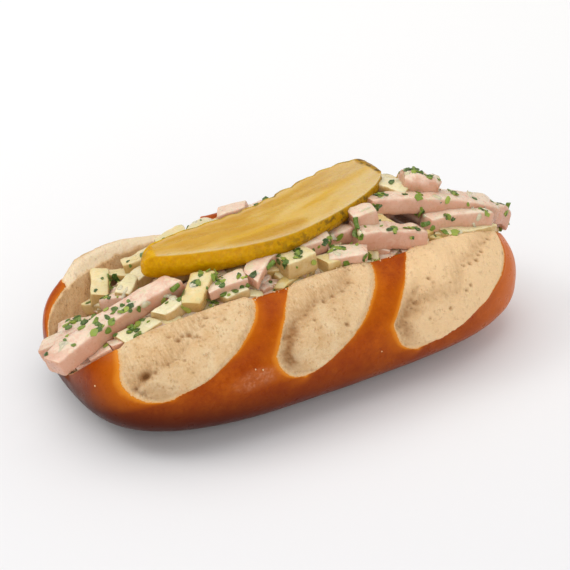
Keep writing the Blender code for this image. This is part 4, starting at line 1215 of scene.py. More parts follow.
def shape_bar(bm, bar, index):
    """A cut bar with worn edges, a bend and an uneven surface, added to bm."""
    frame_matrix, length = bar_frame(bar)
    draw = random.Random(BEND_SEED + index)
    bend, twist, skew, taper = [draw.uniform(-most, most) for most in (1.0, BAR_TWIST, BAR_SKEW, BAR_TAPER)]
    side_bend = bend * length * BAR_BEND
    tone = draw.random()
    seed = BAR_SEED_STEP * index
    listed = index < len(BARS)
    part = cut_cube(length, BAR_CUTS if listed else STRIP_CUTS)
    rounding = min(END_ROUNDING_SHARE, END_ROUNDING * MM / length)
    ragged, corner = (CHUNK_RAGGEDNESS, CHUNK_CORNER) if index == TOP_CHUNK else (1.0, BAR_CORNER)
    for vert in part.verts:
        along, across, up = vert.co
        from_end = (0.5 - abs(along)) * length / MM
        if from_end < END_CLOSE:
            along = math.copysign(0.5 - END_CLOSE_SHARE * from_end * MM / length, along)
        across, up = crowd_to_edges(across), crowd_to_edges(up)
        big = max(abs(2 * across), abs(2 * up), 1e-6)
        norm = max((abs(2 * across) ** corner + abs(2 * up) ** corner) ** (1.0 / corner), 1e-6)
        end = max(0.0, (abs(along) - 0.5 + rounding) / rounding)
        uneven = 1.0 + BAR_UNEVENNESS * ripple(along * length / MM, across * UNEVEN_STRETCH,
                                               seed + UNEVEN_SEED, UNEVEN_PITCH)
        pull = big / norm * (1.0 - END_DRAW_IN * end ** 3) * (1.0 + taper * along * 2.0) * uneven
        across *= pull
        up *= pull
        cosine, sine = math.cos(twist * along), math.sin(twist * along)
        across, up = (across * cosine * bar.width - up * sine * bar.thickness,
                      across * sine * bar.width + up * cosine * bar.thickness)
        arch = 1.0 - 4.0 * along * along
        vert.co = (along * length + skew * across * abs(along) * 2.0, across + side_bend * arch,
                   up + bar.bow * arch)
    part.normal_update()
    moves = []
    for vert in part.verts:
        x, y, z = (vert.co / MM).to_tuple()
        rough = sum(height * ripple(x + seed, y, z, pitch) for height, pitch in BAR_ROUGHNESS)
        rough += BAR_FINE_ROUGHNESS * ripple(x + seed, y + seed, z, BAR_FINE_PITCH)
        moves.append(vert.normal * rough * ragged * MM)
    for vert, move in zip(part.verts, moves):
        vert.co += move
    bmesh.ops.transform(part, matrix=frame_matrix, verts=part.verts)
    tone_layer, film_layer, steep_layer = [part.verts.layers.float.new(name) for name in BAR_FIELDS]
    part.normal_update()
    for vert in part.verts:
        slope = vert.normal.z
        x, y, z = (vert.co / MM).to_tuple()
        vert[tone_layer] = tone
        # Painted shade on faces that turn away from up.
        vert[steep_layer] = smooth_step((STEEP_FROM - slope) / STEEP_RUN)
        # Dressing by slope, more on faces that look up as painted light, with patches.
        vert[film_layer] = FILM_MIDDLE + FILM_BY_SLOPE * slope + FILM_PATCHES * ripple(x, y, z, FILM_PITCH)
        # Small strips in the hollow sink and take painted shade.
        if not listed:
            deep = in_cavity((vert.co - CAVITY).length)
            vert.co.z -= CAVITY_DROP * MM * deep
            vert[film_layer] += (CAVITY_FILM - vert[film_layer]) * deep
    join_into(bm, part)


def join_into(bm, part):
    """Adds a finished bmesh to another that has the same layers."""
    mesh = bpy.data.meshes.new("part")
    part.to_mesh(mesh)
    part.free()
    bm.from_mesh(mesh)
    bpy.data.meshes.remove(mesh)


BAR_FIELDS = ("tone", "film", "steep")


def build_bars(bars, kind, finish):
    """One piece of all bars of a kind."""
    bm = bmesh.new()
    for name in BAR_FIELDS:
        bm.verts.layers.float.new(name)
    for index, bar in enumerate(bars):
        if bar.kind == kind:
            shape_bar(bm, bar, index)
    return make_piece(kind + "_bars", bm, finish, "sausage_salad")


def build_core(finish):
    """The filling that the bars lie in: the heap's body, with lumps and hollows."""
    points = np.zeros((CORE_STATIONS + 1, CORE_OVER + CORE_DOWN, 3))
    gap = np.zeros((CORE_STATIONS + 1, CORE_OVER + CORE_DOWN))
    for i in range(CORE_STATIONS + 1):
        x = CORE_LEFT + (CORE_RIGHT - CORE_LEFT) * sine_spacing(i, CORE_STATIONS)
        front_y, front_z = contact(x, -1)
        back_y, back_z = contact(x, 1)
        bottom = notch_height(within(x / BUN_HALF_LENGTH, -1.0, 1.0)) + CORE_OFF_BOTTOM
        for j in range(CORE_OVER + 1):
            y = front_y + (back_y - front_y) * j / CORE_OVER
            inner = smooth_step(min(j, CORE_OVER - j) / CORE_OVER / CORE_EDGE)
            lump = ripples(x / MM, y / MM, CORE_LUMPS)
            deep = in_cavity(math.hypot(x - CAVITY.x, y - CAVITY.y))
            z = heap_top(x, y) + (CORE_LUMP * lump - CORE_SINK) * MM * inner - CORE_CAVITY_DROP * MM * deep
            points[i, j] = (x, y * CORE_TOP_SHARE, z)
            # Painted shade in the low places and in the hollow.
            hollow = CORE_GAP * smooth_step((CORE_GAP_FROM - lump) / CORE_GAP_RUN)
            gap[i, j] = max(hollow, CORE_CAVITY_GAP * deep)
        for j in range(1, CORE_DOWN):
            way = 2.0 * j / CORE_DOWN
            if way < 1.0:
                y, z = back_y * (1.0 - way), back_z + (bottom - back_z) * way
            else:
                y, z = front_y * (way - 1.0), bottom + (front_z - bottom) * (way - 1.0)
            points[i, CORE_OVER + j] = (x, y * CORE_FACE_SHARE, z)
    for end in (0, -1):
        points[end] = points[end].mean(axis=0)
    bm = wrapped_grid(points, {"gap": gap})
    return make_piece("salad_filling", bm, finish, "sausage_salad")


# ---------------------------------------------------------------- herbs and dressing

# Where a spot on the heap is drawn: along, leaning how, and as a share of the back cut face's reach.
SPOT_RANGE, SPOT_LEAN, SPOT_LEAN_BACK = (-0.095, 0.094), 0.5, (-1.0, -1.0, -0.5, 0.0, 0.0, 0.6)
SPOT_LEAST_REACH, SPOT_REACH, SPOT_AIM_HEIGHT = 0.004, 1.1, 0.044
SPOT_CAST_FROM, SPOT_CAST_LENGTH = 0.15, 0.3
SPOT_LOWEST, SPOT_STEEPEST, SPOT_CAVITY_SHARE = 0.022, -0.2, 0.7

# A flake of leaf: its sides, its outline's draws, and its thickness and height off the heap.
FLAKE_SIDES, FLAKE_RADIUS, FLAKE_OUTLINE, FLAKE_CRUMPLE = (6, 9), 0.62, (0.62, 1.15), 0.05
FLAKE_THICKNESS, FLAKE_LIFT = 0.00022, 0.00028
HERB_SEED, FLAKES, FLAKE_PATCHES, FLAKE_PATCH_DRAW = 77, 430, 9.0, (-0.6, 0.2)
SMALL_SHARE, SMALL_SIZE, LARGE_SIZE, SMALL_TONE, LARGE_TONE = 0.50, (0.9, 1.7), (1.7, 3.4), 1.0, 1.3
FLAKE_WIDTH, FLAKE_CURL = (0.45, 0.95), (-0.25, 0.05)
# Where parsley lies thickest: along, across, height, reach and number of leaves; lengths in millimetres.
TUFTS = (
    (-78.3, 10.4, 29.7, 2.6, 9), (-80.5, 9.0, 29.0, 2.0, 5), (-70.1, -17.8, 38.3, 3.4, 16),
    (-70.0, -22.0, 37.2, 2.2, 6), (-48.9, 10.6, 42.3, 2.6, 10), (-58.6, 20.8, 35.2, 2.2, 7),
    (-38.9, -17.6, 48.0, 3.2, 14), (-41.5, -21.4, 41.7, 2.4, 9), (16.3, -20.1, 50.1, 2.6, 12),
    (6.3, -20.3, 47.9, 2.8, 12), (-9.8, -22.3, 50.6, 2.0, 8), (4.4, -18.6, 50.7, 1.8, 6),
    (54.1, -21.8, 47.6, 1.9, 7), (35.7, -25.0, 49.0, 2.4, 9), (69.6, -22.0, 45.6, 1.5, 5),
    (50.0, -3.0, 60.5, 1.8, 6), (52.0, -5.5, 60.2, 1.8, 7), (54.5, -9.3, 58.6, 1.6, 5),
    (62.4, -13.1, 52.0, 1.9, 8), (-69.2, 17.3, 31.2, 2.0, 6), (-68.0, -11.7, 42.8, 2.2, 5),
    (-77.9, -13.0, 38.8, 1.6, 4), (-31.3, -22.0, 46.5, 2.2, 7), (-14.7, -22.6, 49.7, 1.6, 5),
    (-5.9, -23.3, 47.9, 1.5, 4), (19.3, -24.7, 41.2, 1.8, 5), (34.6, -7.1, 53.8, 2.6, 10),
    (30.8, -9.6, 52.8, 1.6, 5), (28.8, -23.6, 49.8, 1.8, 5), (46.7, -15.1, 49.2, 1.4, 4),
    (85.0, -15.0, 39.5, 1.8, 6),
)
TUFT_SPREAD, TUFT_LEAN, TUFT_LIFT = 0.5, 0.45, (-0.1, 0.3)
TUFT_SIZE, TUFT_WIDTH, TUFT_CURL, TUFT_TONE, TUFT_BRIGHTEST = (1.3, 3.0), (0.5, 0.95), (-0.3, 0.2), 1.2, 0.9
# Snipped chives, from end to end in millimetres, and their radius at both ends and bend.
CHIVES = (
    ((93.2, -8.6, 37.8), (92.0, -10.6, 29.6)), ((90.5, -11.5, 31.5), (86.0, -14.0, 30.5)),
    ((17.2, -16.6, 55.0), (16.4, -19.4, 52.2)), ((-21.5, -21.5, 48.5), (-17.8, -20.5, 49.6)),
    ((-53.5, -15.0, 46.6), (-50.5, -14.0, 47.4)), ((41.0, -24.5, 49.3), (44.5, -23.5, 48.6)),
)
CHIVE_SIDES, CHIVE_RINGS, CHIVE_RADII = 14, 5, (0.00092, 0.00080)
CHIVE_BEND, CHIVE_TONE = 0.00005, (0.35, 0.6)

# Smears of dressing: their number, half length and half width in millimetres, and their uneven edge.
DRESSING_SEED, SMEARS, SMEAR_LENGTH, SMEAR_WIDTH = 41, 80, (0.8, 2.6), (0.5, 1.3)
SMEAR_EDGE, SMEAR_EDGE_STRETCH, SMEAR_EDGE_SEED, SMEAR_EDGE_PITCH = 0.35, 2.0, 3.0, 1.3
SMEAR_CAST_FROM, SMEAR_CAST_LENGTH, SMEAR_THICKNESS, SMEAR_SINK = 0.0015, 0.004, 0.00024, 0.00002
SMEAR_SMOOTHING = 0.4
# Drops of dressing: place and size in millimetres, and how much narrower and flatter they are than long.
DROPS = ((70.5, -22.0, 45.5, 1.2), (5.5, -21.0, 48.8, 1.0), (16.0, -20.6, 51.0, 1.4))
DROP_WIDTH, DROP_HEIGHT = 0.8, 0.45


def facing(place, normal):
    """A matrix at a place, whose +Z points along a normal."""
    return Matrix.Translation(place) @ normal.to_track_quat("Z", "Y").to_matrix().to_4x4()


def exposed_spot(tree, draw):
    """A drawn spot on the open surface of the heap, as a matrix whose +Z points out of it, or None."""
    x = draw.uniform(*SPOT_RANGE)
    lean = Vector((draw.uniform(-SPOT_LEAN, SPOT_LEAN), draw.choice(SPOT_LEAN_BACK), 1.0)).normalized()
    reach = max(SPOT_LEAST_REACH, contact(within(x, CORE_LEFT, CORE_RIGHT), 1)[0])
    aim = Vector((x, draw.uniform(-1.0, 1.0) * reach * SPOT_REACH, SPOT_AIM_HEIGHT))
    place, normal, _, _ = tree.ray_cast(aim + lean * SPOT_CAST_FROM, -lean, SPOT_CAST_LENGTH)
    if place is None or place.z < SPOT_LOWEST or normal.z < SPOT_STEEPEST:
        return None
    if (place - CAVITY).length < CAVITY_REACH * SPOT_CAVITY_SHARE:
        return None
    return facing(place, normal)


def resting_matrix(tree, spot, lean):
    """A place on the heap nearest to a spot, with its +Z out of the surface and leaning a little."""
    place, normal, _, _ = tree.find_nearest(spot)
    return facing(place, normal + lean)


def join_toned(bm, part, tone):
    """Adds a finished bmesh to another, in one tone."""
    layer = part.verts.layers.float.new("tone")
    for vert in part.verts:
        vert[layer] = tone
    join_into(bm, part)


def add_flake(bm, where, size, wide, curl, tone, draw):
    """A cut flake of leaf: a fan of faces with an uneven outline, curled and given a thickness."""
    part = bmesh.new()
    bmesh.ops.create_circle(part, cap_ends=True, cap_tris=True, segments=draw.randint(*FLAKE_SIDES),
                            radius=size * FLAKE_RADIUS)
    for vert in part.verts:
        vert.co *= draw.uniform(*FLAKE_OUTLINE)
        vert.co.y *= wide
        along = vert.co.x / size
        vert.co.z = size * (curl * along * along + FLAKE_CRUMPLE * draw.uniform(-1.0, 1.0))
    bmesh.ops.solidify(part, geom=part.faces[:], thickness=FLAKE_THICKNESS)
    bmesh.ops.recalc_face_normals(part, faces=part.faces)
    spin = Matrix.Rotation(draw.uniform(0.0, 2.0 * math.pi), 4, "Z")
    lift = Matrix.Translation((0.0, 0.0, FLAKE_LIFT))
    bmesh.ops.transform(part, matrix=where @ lift @ spin, verts=part.verts)
    join_toned(bm, part, tone)


def add_chive(bm, start, end, draw):
    """A snipped length of chive, slightly bent."""
    start, end = Vector(start) * MM, Vector(end) * MM
    length = (end - start).length
    part = bmesh.new()
    bmesh.ops.create_cone(part, cap_ends=True, cap_tris=True, segments=CHIVE_SIDES, radius1=CHIVE_RADII[0],
                          radius2=CHIVE_RADII[1], depth=length)
    lengthwise = [edge for edge in part.edges if abs(edge.verts[0].co.z - edge.verts[1].co.z) > length / 2]
    bmesh.ops.subdivide_edges(part, edges=lengthwise, cuts=CHIVE_RINGS)
    for vert in part.verts:
        vert.co.x += CHIVE_BEND * (vert.co.z / MM) ** 2
    bmesh.ops.recalc_face_normals(part, faces=part.faces)
    bmesh.ops.transform(part, matrix=facing((start + end) / 2, end - start), verts=part.verts)
    join_toned(bm, part, draw.uniform(*CHIVE_TONE))


def build_herbs(tree, finish):
    """Scattered flakes in patches, tufts of parsley where it lies thickest, and a few chives."""
    draw = random.Random(HERB_SEED)
    bm = bmesh.new()
    bm.verts.layers.float.new("tone")
    laid = 0
    while laid < FLAKES:
        where = exposed_spot(tree, draw)
        if where is None:
            continue
        laid += 1
        if ripple(*(where.translation / MM), FLAKE_PATCHES) < draw.uniform(*FLAKE_PATCH_DRAW):
            continue
        small = draw.random() < SMALL_SHARE
        size = draw.uniform(*(SMALL_SIZE if small else LARGE_SIZE))
        tone = draw.random() ** (SMALL_TONE if small else LARGE_TONE)
        add_flake(bm, where, size * MM, draw.uniform(*FLAKE_WIDTH), draw.uniform(*FLAKE_CURL), tone, draw)
    for x, y, z, reach, count in TUFTS:
        for _ in range(count):
            spread = Vector([draw.gauss(0.0, TUFT_SPREAD) * reach for _ in range(3)])
            lean = Vector((draw.uniform(-TUFT_LEAN, TUFT_LEAN), draw.uniform(-TUFT_LEAN, TUFT_LEAN),
                           draw.uniform(*TUFT_LIFT)))
            where = resting_matrix(tree, (Vector((x, y, z)) + spread) * MM, lean)
            add_flake(bm, where, draw.uniform(*TUFT_SIZE) * MM, draw.uniform(*TUFT_WIDTH),
                      draw.uniform(*TUFT_CURL), draw.random() ** TUFT_TONE * TUFT_BRIGHTEST, draw)
    for start, end in CHIVES:
        add_chive(bm, start, end, draw)
    return make_piece("chopped_herbs", bm, finish, "sausage_salad", smooth=False)


def build_dressing(tree, finish):
    """Thin smears of dressing that cling to the heap: each a small lens laid on it point by point."""
    draw = random.Random(DRESSING_SEED)
    bm = bmesh.new()
    laid = 0
    while laid < SMEARS:
        where = exposed_spot(tree, draw)
        if where is None:
            continue
        laid += 1
        long, wide = draw.uniform(*SMEAR_LENGTH) * MM, draw.uniform(*SMEAR_WIDTH) * MM
        matrix = where @ Matrix.Rotation(draw.uniform(0.0, math.pi), 4, "Z")
        out = where.to_3x3() @ Vector((0.0, 0.0, 1.0))
        part = bmesh.new()
        bmesh.ops.create_icosphere(part, subdivisions=3, radius=1.0)
        for vert in part.verts:
            u, v, w = vert.co
            angle = math.atan2(v, u)
            edge = 1.0 + SMEAR_EDGE * ripple(math.cos(angle) * SMEAR_EDGE_STRETCH,
                                             math.sin(angle) * SMEAR_EDGE_STRETCH,
                                             laid * SMEAR_EDGE_SEED, SMEAR_EDGE_PITCH)
            spot = matrix @ Vector((u * long * edge, v * wide * edge, 0.0))
            place, _, _, _ = tree.ray_cast(spot + out * SMEAR_CAST_FROM, -out, SMEAR_CAST_LENGTH)
            vert.co = (place or spot) + out * (SMEAR_THICKNESS * w - SMEAR_SINK)
        bmesh.ops.smooth_vert(part, verts=part.verts, factor=SMEAR_SMOOTHING, use_axis_x=True,
                              use_axis_y=True, use_axis_z=True)
        join_into(bm, part)
    for x, y, z, size in DROPS:
        where = resting_matrix(tree, Vector((x, y, z)) * MM, Vector())
        squash = Matrix.Diagonal((size * MM, size * DROP_WIDTH * MM, size * DROP_HEIGHT * MM, 1.0))
        bmesh.ops.create_icosphere(bm, subdivisions=3, radius=1.0, matrix=where @ squash)
    return make_piece("dressing_smears", bm, finish, "sausage_salad")


def surface_tree(*pieces):
    """A search tree over the faces of some pieces, for laying small things on them."""
    places, faces = [], []
    for piece in pieces:
        first = len(places)
        places.extend(vert.co.copy() for vert in piece.data.vertices)
        faces.extend([first + corner for corner in face.vertices] for face in piece.data.polygons)
    return BVHTree.FromPolygons(places, faces)


# ---------------------------------------------------------------- gherkin

# The slice's mesh: stations along it, steps over its cut face and steps round its rind.
SLICE_STATIONS, SLICE_FACE, SLICE_ROUND = 300, 64, 84
SLICE_FIELDS = ("run", "across", "rind", "edge", "heart", "golden", "pale", "dark", "low")
SLICE_FULLER = 1.01
# How it rolls over at its ends: the powers at the left and right, and where the rind starts there.
ROLL_POWERS, ROLL_RIND, ROLL_FALL = (2.0, 3.5), 0.25, 2.0
# The rind's edge on the cut face, in millimetres: its place, its wander and how soft it is.
SLICE_RIND_EDGE, RIND_WANDER, RIND_SOFTNESS = 0.75, 0.3, 0.5
SUNK_POWER, FLANK_POWER = 0.9, 0.28
# The uneven outline, weaker on the near side: height, seed and pitch of waves, then the notches.
NEAR_WAVE, WAVE_SEED, OUTLINE_WAVES = 0.35, 40.0, ((0.020, 3.0, 5.5), (0.026, 9.0, 2.6))
NOTCH_PITCH, NOTCH_WANDER, NOTCH_SIZE, NOTCH_MIDDLE, NOTCH_FILL = 0.31, 1.2, 0.075, 0.6, 1.3
# The right end leans along the slice, from this share of its length.
LEAN, LEAN_FROM, LEAN_RUN = 0.0018, 0.72, 0.28
# Warts and grain of the rind, and the dip of the cut face with its raised heart, in millimetres.
WART_PITCH, WART_HEIGHT, WART_REACH, GRAIN_HEIGHT, GRAIN_PITCH = 3.6, 0.36, 0.5, 0.14, 1.5
RELIEF_FROM_FACE, FACE_EDGE_POWER = 0.12, 6
FACE_DIP, SLICE_WAVES = -0.45, ((0.28, 0.16, 5.0, 3.0), (0.14, 0.2, 8.0, 1.3))
HEART_RISE, HEART_AT, HEART_REACH = 0.45, 0.10, 0.30
# Colour fields of the slice.
SLICE_EDGE_WIDTH, NEAR_FROM, NEAR_RUN, TIP_FROM, TIP_RUN, TIP_DARK = 0.7, 0.3, 0.6, 0.90, 0.05, 1.4
# Painted shade on the rind: how far down from the cut face it starts, and over what run, in millimetres.
LOW_FROM, LOW_RUN = 2.5, 4.0
HEART_PATH, HEART_WANDER, HEART_WIDTH, HEART_FROM, HEART_RUN = (-0.50, 0.08), 0.08, 0.15, 0.14, 0.2
GOLDEN_AT, GOLDEN_WIDTH, GOLDEN_UNTIL, GOLDEN_RUN = 0.25, 0.5, 0.55, 0.3
PALE_FAR, PALE_NEAR, PALE_RIGHT, PALE_FROM, PALE_RUN = 2.2, 3.0, 0.75, 0.60, 0.35
FAR_DARK, FAR_DARK_RUN, NEAR_DARK_FROM, NEAR_DARK_RUN = 0.25, 0.35, 0.16, 0.60


def slice_wave(along, reach, fill):
    """The slice's half width at a place on its outline, as a share of the even one."""
    far = 1.0 if reach > 0.0 else NEAR_WAVE
    edge_side = math.copysign(WAVE_SEED, reach)
    wave = 1.0
    for height, seed, pitch in OUTLINE_WAVES:
        wave += height * far * ripple(along, edge_side, seed, pitch)
    notch = abs(math.sin(along * NOTCH_PITCH + NOTCH_WANDER * ripple(along, 5.0, 3.0, 20.0)))
    return wave + (NOTCH_SIZE * (notch - NOTCH_MIDDLE) * (far - NEAR_WAVE) / (1.0 - NEAR_WAVE)
                   * smooth_step(fill * NOTCH_FILL))


def face_relief(along, across, level):
    """Height of the cut face, in millimetres: sunk and uneven, with a raised heart."""
    dip = FACE_DIP
    for height, stretch, seed, pitch in SLICE_WAVES:
        dip += height * ripple(along * stretch, across, seed, pitch)
    return dip + HEART_RISE * bell(level - HEART_AT, HEART_REACH)


def rind_relief(place):
    """Height of the rind's warts and grain, in millimetres."""
    gaps, _ = noise.voronoi([value / WART_PITCH for value in place])
    return WART_HEIGHT * smooth_step(1.0 - gaps[0] / WART_REACH) + GRAIN_HEIGHT * ripple(*place, GRAIN_PITCH)


def build_gherkin(finish):
    """The slice: its cut face, then round its rind, along its bent middle line."""
    around = SLICE_FACE + SLICE_ROUND
    points = np.zeros((SLICE_STATIONS + 1, around, 3))
    fields = {name: np.zeros((SLICE_STATIONS + 1, around)) for name in SLICE_FIELDS}
    lift = np.zeros((SLICE_STATIONS + 1, around))
    point = Vector((*GHERKIN_START, 0.0))
    travelled = 0.0
    for i in range(SLICE_STATIONS + 1):
        share = sine_spacing(i, SLICE_STATIONS)
        turn = math.tanh((share - GHERKIN_BEND_AT) / GHERKIN_BEND_LENGTH)
        heading = math.radians(blend(GHERKIN_HEADINGS, (turn + 1.0) / 2))
        run = Vector((math.cos(heading), math.sin(heading), 0.0))
        side = Vector((-run.y, run.x, 0.0))
        point = point + run * (share * GHERKIN_LENGTH - travelled)
        travelled = share * GHERKIN_LENGTH
        from_widest = 2.0 * share ** GHERKIN_WIDEST_SHIFT - 1.0
        fill = fullness(from_widest, blend(GHERKIN_BLUNTNESS, share))
        half = GHERKIN_WIDTH / 2 * fill * SLICE_FULLER
        halves = [GHERKIN_WIDTH / 2 * SLICE_FULLER * fullness(from_widest, blend(blunt, share))
                  for blunt in (GHERKIN_NEAR_BLUNTNESS, GHERKIN_FAR_BLUNTNESS)]
        thinned = 1.0 - (1.0 - share) ** GHERKIN_THINNING
        thickness = blend(GHERKIN_THICKNESS, thinned)
        rolled = max(0.0, 1.0 - share / GHERKIN_ROLL[0], 1.0 - (1.0 - share) / GHERKIN_ROLL[1])
        height = blend(GHERKIN_TOP, thinned) - thickness / 2
        top = height + thickness / 2 * math.sqrt(1.0 - rolled ** ROLL_POWERS[share >= 0.5])
        depth = top - height + thickness / 2 * fill ** GHERKIN_END_FULLNESS
        along = travelled / MM
        inset = blend(GHERKIN_FACE, thinned)
        past = smooth_step(rolled / ROLL_RIND)
        tip = rise(share, TIP_FROM, TIP_RUN)
        for step in range(around):
            if step < SLICE_FACE:
                level = 2.0 * step / SLICE_FACE - 1.0
                margin = (1.0 - level) * half * inset / MM
                edge = SLICE_RIND_EDGE + RIND_WANDER * ripple(along, 2.0, 7.0, 3.0)
                reach, sunk = level * inset, 0.0
                rind = max(past, smooth_step((edge - margin) / RIND_SOFTNESS))
            else:
                angle = math.pi * (step - SLICE_FACE) / SLICE_ROUND
                sunk = math.sin(angle) ** SUNK_POWER
                flank = math.copysign(abs(math.cos(angle)) ** FLANK_POWER, math.cos(angle))
                reach = flank * blend((inset, 1.0), smooth_step(2.0 * sunk))
                level, rind = flank, 1.0
            across = halves[reach > 0.0] * reach * slice_wave(along, reach, fill)
            place = point + side * across + run * LEAN * level * rise(share, LEAN_FROM, LEAN_RUN)
            points[i, step] = (place.x, place.y, top - depth * sunk)
            bumps = rind_relief((points[i, step] / MM).tolist())
            if step >= SLICE_FACE:
                lift[i, step] = smooth_step(sunk / RELIEF_FROM_FACE) * bumps
            else:
                inside = 1.0 - abs(level) ** FACE_EDGE_POWER
                relief = face_relief(along, across / MM, level)
                lift[i, step] = inside * (relief * (1.0 - past) + bumps * past)
            near_side = rise(reach, NEAR_FROM, -NEAR_RUN)
            from_face = sunk * depth / MM + rolled * ROLL_FALL
            from_heart = level - blend(HEART_PATH, share) - HEART_WANDER * ripple(along, 6.0, 0.0, 22.0)
            margin = (1.0 - abs(level)) * half * inset / MM
            pale = 1.0 - min(1.0, margin / (PALE_FAR if level > 0.0 else PALE_NEAR))
            far_dark = FAR_DARK + (1.0 - FAR_DARK) * smooth_step(share / FAR_DARK_RUN)
            dark = blend((far_dark, rise(share, NEAR_DARK_FROM, NEAR_DARK_RUN)), near_side)
            golden = bell(level - GOLDEN_AT, GOLDEN_WIDTH) * rise(share, GOLDEN_UNTIL, -GOLDEN_RUN)
            bright_edge = bell(from_face, SLICE_EDGE_WIDTH) * rind * near_side * (1.0 - tip)
            values = (along, across / MM, rind, bright_edge,
                      bell(from_heart, HEART_WIDTH) * rise(share, HEART_FROM, HEART_RUN), golden,
                      max(pale, PALE_RIGHT * rise(share, PALE_FROM, PALE_RUN)), max(dark, TIP_DARK * tip),
                      rise(sunk * depth / MM, LOW_FROM, LOW_RUN) * rind)
            for name, value in zip(SLICE_FIELDS, values):
                fields[name][i, step] = value
    points += grid_normals(points) * lift[:, :, None] * MM
    bm = wrapped_grid(points, fields)
    return make_piece("gherkin_slice_finished", bm, finish, "gherkin_slice")


# ---------------------------------------------------------------- crumbs

# Crumbs that lie on the crust: along and down from the front rim, in millimetres, then their size.
LOOSE_CRUMBS = (
    (-85.5, 7.9), (-22.4, 0.3), (8.2, 33.7), (-40.0, 24.5), (-37.5, 25.5), (-30.5, 1.5), (24.0, 1.0),
)
LOOSE_SIZE = 0.27
# Crumbs scattered along the front rim.
CRUMB_SEED, RIM_CRUMBS = 8, 60
CRUMB_RANGE, CRUMB_DEPTH, CRUMB_SIZE = (-74.0, 76.0), (-0.4, 1.2), (0.16, 0.34)
CRUMB_LIFT, CRUMB_RAGGEDNESS, CRUMB_PITCH, CRUMB_SHELL = 0.4, 0.5, 0.4, 3.0


def skin_spot(x, depth, side):
    """A place on the bun's uncut skin, in metres, from millimetres along and down from the rim."""
    length, reach, height = skin_profile(x * MM / BUN_HALF_LENGTH, side)
    from_rim = depth * MM
    return Vector((x * MM, side * np.interp(from_rim, length, reach), np.interp(from_rim, length, height)))


def build_crumbs(bun, finish):
    """A few crumbs of bread on the cut edges and on the crust."""
    draw = random.Random(CRUMB_SEED)
    tree = surface_tree(bun)
    spots = [(x, depth, LOOSE_SIZE) for x, depth in LOOSE_CRUMBS]
    spots += [(draw.uniform(*CRUMB_RANGE), draw.uniform(*CRUMB_DEPTH), draw.uniform(*CRUMB_SIZE))
              for _ in range(RIM_CRUMBS)]
    bm = bmesh.new()
    for x, depth, size in spots:
        place, normal, _, _ = tree.find_nearest(skin_spot(x, max(0.0, depth), -1))
        matrix = Matrix.Translation(place + normal * size * CRUMB_LIFT * MM)
        part = bmesh.ops.create_icosphere(bm, subdivisions=2, radius=size * MM, matrix=matrix)
        for vert in part["verts"]:
            x, y, z = vert.co / MM
            away = [ripple(*turned, CRUMB_PITCH) for turned in ((x, y, z), (y, z, x), (z, x, y))]
            vert.co += Vector(away) * size * CRUMB_RAGGEDNESS * MM
    shell = bm.verts.layers.float.new("shell")
    for vert in bm.verts:
        vert[shell] = CRUMB_SHELL
    return make_piece("bread_crumbs", bm, finish, None)


# ---------------------------------------------------------------- floor, light and camera

FLOOR_HALF, FLOOR_CUTS = 2.5, 8
ROOM_COLOUR, ROOM_STRENGTH = (1.0, 0.995, 0.99, 1.0), 0.56
# The lamps: name, place, aim, size in metres, power in watts and colour.
LAMPS = (
    ("overhead", (-0.15, 0.25, 1.30), (0.0, 0.0, 0.02), 1.50, 8.0, (1.0, 0.99, 0.975)),
    ("key", (-0.85, 0.50, 0.95), (0.0, 0.0, 0.02), 0.60, 3.5, (1.0, 0.985, 0.96)),
    ("right", (1.05, 0.10, 0.60), (0.05, 0.0, 0.02), 0.90, 0.7, (1.0, 0.99, 0.98)),
    ("fill", (-0.25, -1.20, 0.70), (0.0, 0.0, 0.02), 0.80, 5.0, (1.0, 0.985, 0.97)),
)
CAMERA_AZIMUTH = math.radians(-31.695)
CAMERA_ELEVATION = math.radians(29.744)
CAMERA_DISTANCE = 0.480
CAMERA_AIM = Vector((0.0, 0.0, 0.025))
CAMERA_NEAREST = 0.01
FOCAL_PIXELS = 1330.96
FRAME_PIXELS = 570
SENSOR = 36.0
SHIFT_RIGHT_PIXELS = 2.42
SHIFT_DOWN_PIXELS = 0.76


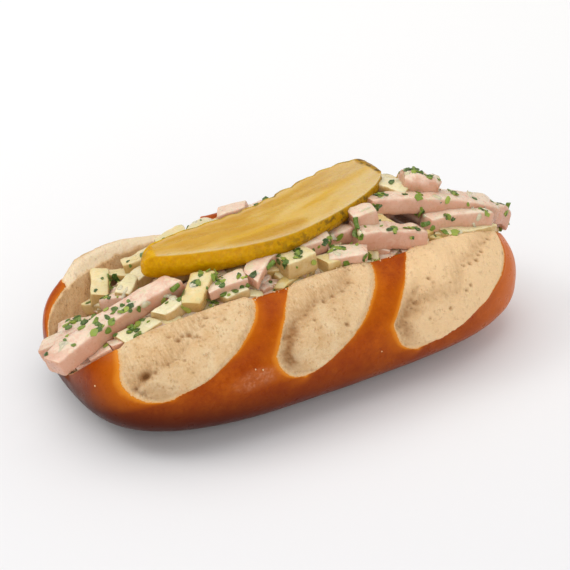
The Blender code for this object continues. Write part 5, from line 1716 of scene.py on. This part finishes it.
def build_floor():
    bm = bmesh.new()
    bmesh.ops.create_grid(bm, x_segments=FLOOR_CUTS, y_segments=FLOOR_CUTS, size=FLOOR_HALF)
    mesh = bpy.data.meshes.new("floor")
    bm.to_mesh(mesh)
    bm.free()
    mesh.materials.append(floor_finish())
    floor = bpy.data.objects.new("floor", mesh)
    add_to_scene(floor)


def build_light():
    world = bpy.data.worlds.new("white room")
    world.use_nodes = True
    background = world.node_tree.nodes["Background"].inputs
    background["Color"].default_value = ROOM_COLOUR
    background["Strength"].default_value = ROOM_STRENGTH
    bpy.context.scene.world = world
    for name, place, aim, size, power, colour in LAMPS:
        lamp = bpy.data.lights.new(name, "AREA")
        lamp.shape = "SQUARE"
        lamp.size = size
        lamp.energy = power
        lamp.color = colour
        box = bpy.data.objects.new(name, lamp)
        box.location = place
        box.rotation_euler = (Vector(place) - Vector(aim)).to_track_quat("Z", "Y").to_euler()
        add_to_scene(box)


def build_camera():
    azimuth, elevation = CAMERA_AZIMUTH, CAMERA_ELEVATION
    back = Vector((math.sin(azimuth) * math.cos(elevation), -math.cos(azimuth) * math.cos(elevation),
                   math.sin(elevation)))
    right = Vector((math.cos(azimuth), math.sin(azimuth), 0.0))
    turn = Matrix((right, back.cross(right), back)).transposed().to_4x4()
    lens = bpy.data.cameras.new("camera")
    lens.sensor_width = SENSOR
    lens.lens = FOCAL_PIXELS * SENSOR / FRAME_PIXELS
    lens.shift_x = -SHIFT_RIGHT_PIXELS / FRAME_PIXELS
    lens.shift_y = SHIFT_DOWN_PIXELS / FRAME_PIXELS
    lens.clip_start = CAMERA_NEAREST
    camera = bpy.data.objects.new("camera", lens)
    camera.matrix_world = Matrix.Translation(CAMERA_AIM + back * CAMERA_DISTANCE) @ turn
    add_to_scene(camera)
    bpy.context.scene.camera = camera


def main():
    bread = bread_finish()
    bars = list(BARS) + row_bars() + strip_bars()
    bun = build_bun(bread)
    core = build_core(core_finish())
    sausage = build_bars(bars, "sausage", sausage_finish())
    cheese = build_bars(bars, "cheese", cheese_finish())
    tree = surface_tree(core, sausage, cheese)
    build_herbs(tree, herb_finish())
    build_dressing(tree, dressing_finish())
    build_gherkin(gherkin_finish())
    build_crumbs(bun, bread)
    build_floor()
    build_light()
    build_camera()
    bpy.context.scene.view_settings.view_transform = "Standard"


main()
